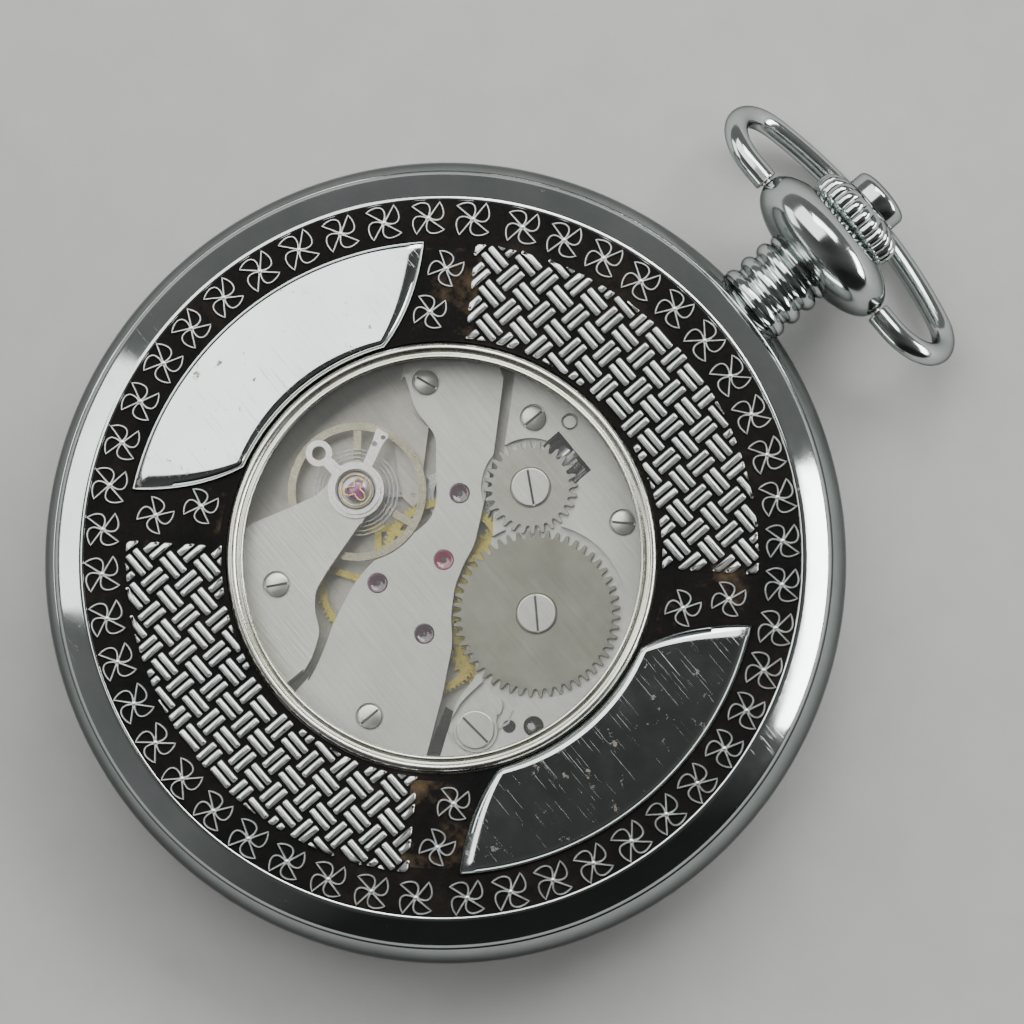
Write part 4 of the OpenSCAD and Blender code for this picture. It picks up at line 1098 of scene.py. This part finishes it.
KEPT = {
    STEEL: ("hinge_pin", "lift_spring", "lid_catch", "crown_tube", "button_rod", "cannon_pinion",
            "barrel_arbor", "click_spring", "escape_wheel", "pallet_fork", "hairspring", "stem",
            "winding_pinion"),
    SCREW_STEEL: ("bow_pins",),
    BLUED: ("hour_hand", "minute_hand", "seconds_hand", "mainspring"),
    BRASS: ("hour_wheel", "minute_wheel", "barrel", "second_wheel", "third_wheel", "fourth_wheel"),
    PALE_GILT: ("balance_wheel",),
    PLATE: ("main_plate", "pallet_cock"),
    RING_GREY: ("movement_ring",),
    DIAL_WHITE: ("dial",),
}


def paint_kept_nodes():
    for material, names in KEPT.items():
        for name in names:
            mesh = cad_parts[name].data
            mesh.materials.clear()
            mesh.materials.append(material)


# ---------- floor, light and camera ----------

def floor():
    half = 600
    shape = Shape()
    shape.add([(-half, -half, 0), (half, -half, 0), (half, half, 0), (-half, half, 0)], [(0, 1, 2, 3)])
    plane = make("floor", shape)
    plane.location.z = -0.00002
    plane.data.materials.append(lacquer("floor_paper", (0.5, 0.5, 0.49), (0.47, 0.47, 0.46), (0.7, 0.85)))


def area_light(name, place_mm, target_mm, size, power):
    lamp = bpy.data.lights.new(name, "AREA")
    lamp.shape = "RECTANGLE"
    lamp.size, lamp.size_y = size
    lamp.energy = power
    holder = add_object(name, lamp)
    start, end = Vector(place_mm) * MM, Vector(target_mm) * MM
    aim = (end - start).to_track_quat("-Z", "Y")
    holder.matrix_world = Matrix.Translation(start) @ aim.to_matrix().to_4x4()


def lights():
    area_light("softbox_overhead", (-316, 20, 492), (0, 20, 6), (0.5, 0.58), 2.6)
    area_light("softbox_key", (380, 400, 150), (0, 0, 6), (0.42, 0.14), 2.2)
    area_light("softbox_fill", (-150, 400, 500), (0, 0, 6), (0.5, 0.26), 3.0)
    area_light("softbox_low", (-460, -330, 190), (0, 0, 6), (0.4, 0.2), 0.7)
    world = bpy.data.worlds.new("studio")
    bpy.context.scene.world = world
    world.use_nodes = True
    nodes = Nodes(world.node_tree)
    coords = nodes.new("ShaderNodeTexCoord")
    split = nodes.new("ShaderNodeSeparateXYZ")
    nodes.put(coords.outputs["Generated"], split.inputs["Vector"])
    height = nodes.ramp(split.outputs["Z"], [(0.0, 0.2), (0.35, 0.17), (0.8, 0.1), (1.0, 0.05)])
    toward = nodes.new("ShaderNodeVectorMath")
    toward.operation = "DOT_PRODUCT"
    toward.inputs[1].default_value = (0.906, -0.423, 0.0)
    nodes.put(coords.outputs["Generated"], toward.inputs[0])
    dimming = nodes.ramp(toward.outputs["Value"], [(0.45, 1.0), (0.8, 0.12)])
    background = world.node_tree.nodes["Background"]
    nodes.put(nodes.mix(1.0, height, dimming, "MULTIPLY"), background.inputs["Color"])
    background.inputs["Strength"].default_value = 1.0


def camera():
    """Nearly overhead, leaning a little towards +X, with the pendant up and to the right."""
    tilt, roll, azimuth = math.radians(3.78), math.radians(39.9), -14.1
    distance = 367.6
    target = Vector((0.256, 4.879, 6.5))
    data = bpy.data.cameras.new("camera")
    data.lens = 220.3
    data.sensor_width = 36
    data.clip_start = 0.01
    back = Vector((*polar(math.sin(tilt), azimuth), math.cos(tilt)))
    side = Vector((0, 1, 0)).cross(back).normalized()
    up = back.cross(side)
    turn = Matrix.Rotation(math.pi / 2 - roll, 3, back)
    rotation = Matrix((turn @ side, turn @ up, back)).transposed().to_4x4()
    holder = add_object("camera", data)
    holder.matrix_world = Matrix.Translation((target + back * distance) * MM) @ rotation
    bpy.context.scene.camera = holder


camera()
floor()
lights()
rear_cover_rim()
rear_cover_field()
gap_strips()
weave_bars()
pinwheels()
polished_panels()
window()
case_wall()
lid()
front()
pendant_piece()
crown_piece()
button_piece()
bow_piece()
train_bridge_piece()
barrel_bridge_piece()
balance_cock_piece()
screws()
jewels()
winding_wheels()
click_piece()
regulator_piece()
shock_setting()
numerals()
paint_kept_nodes()
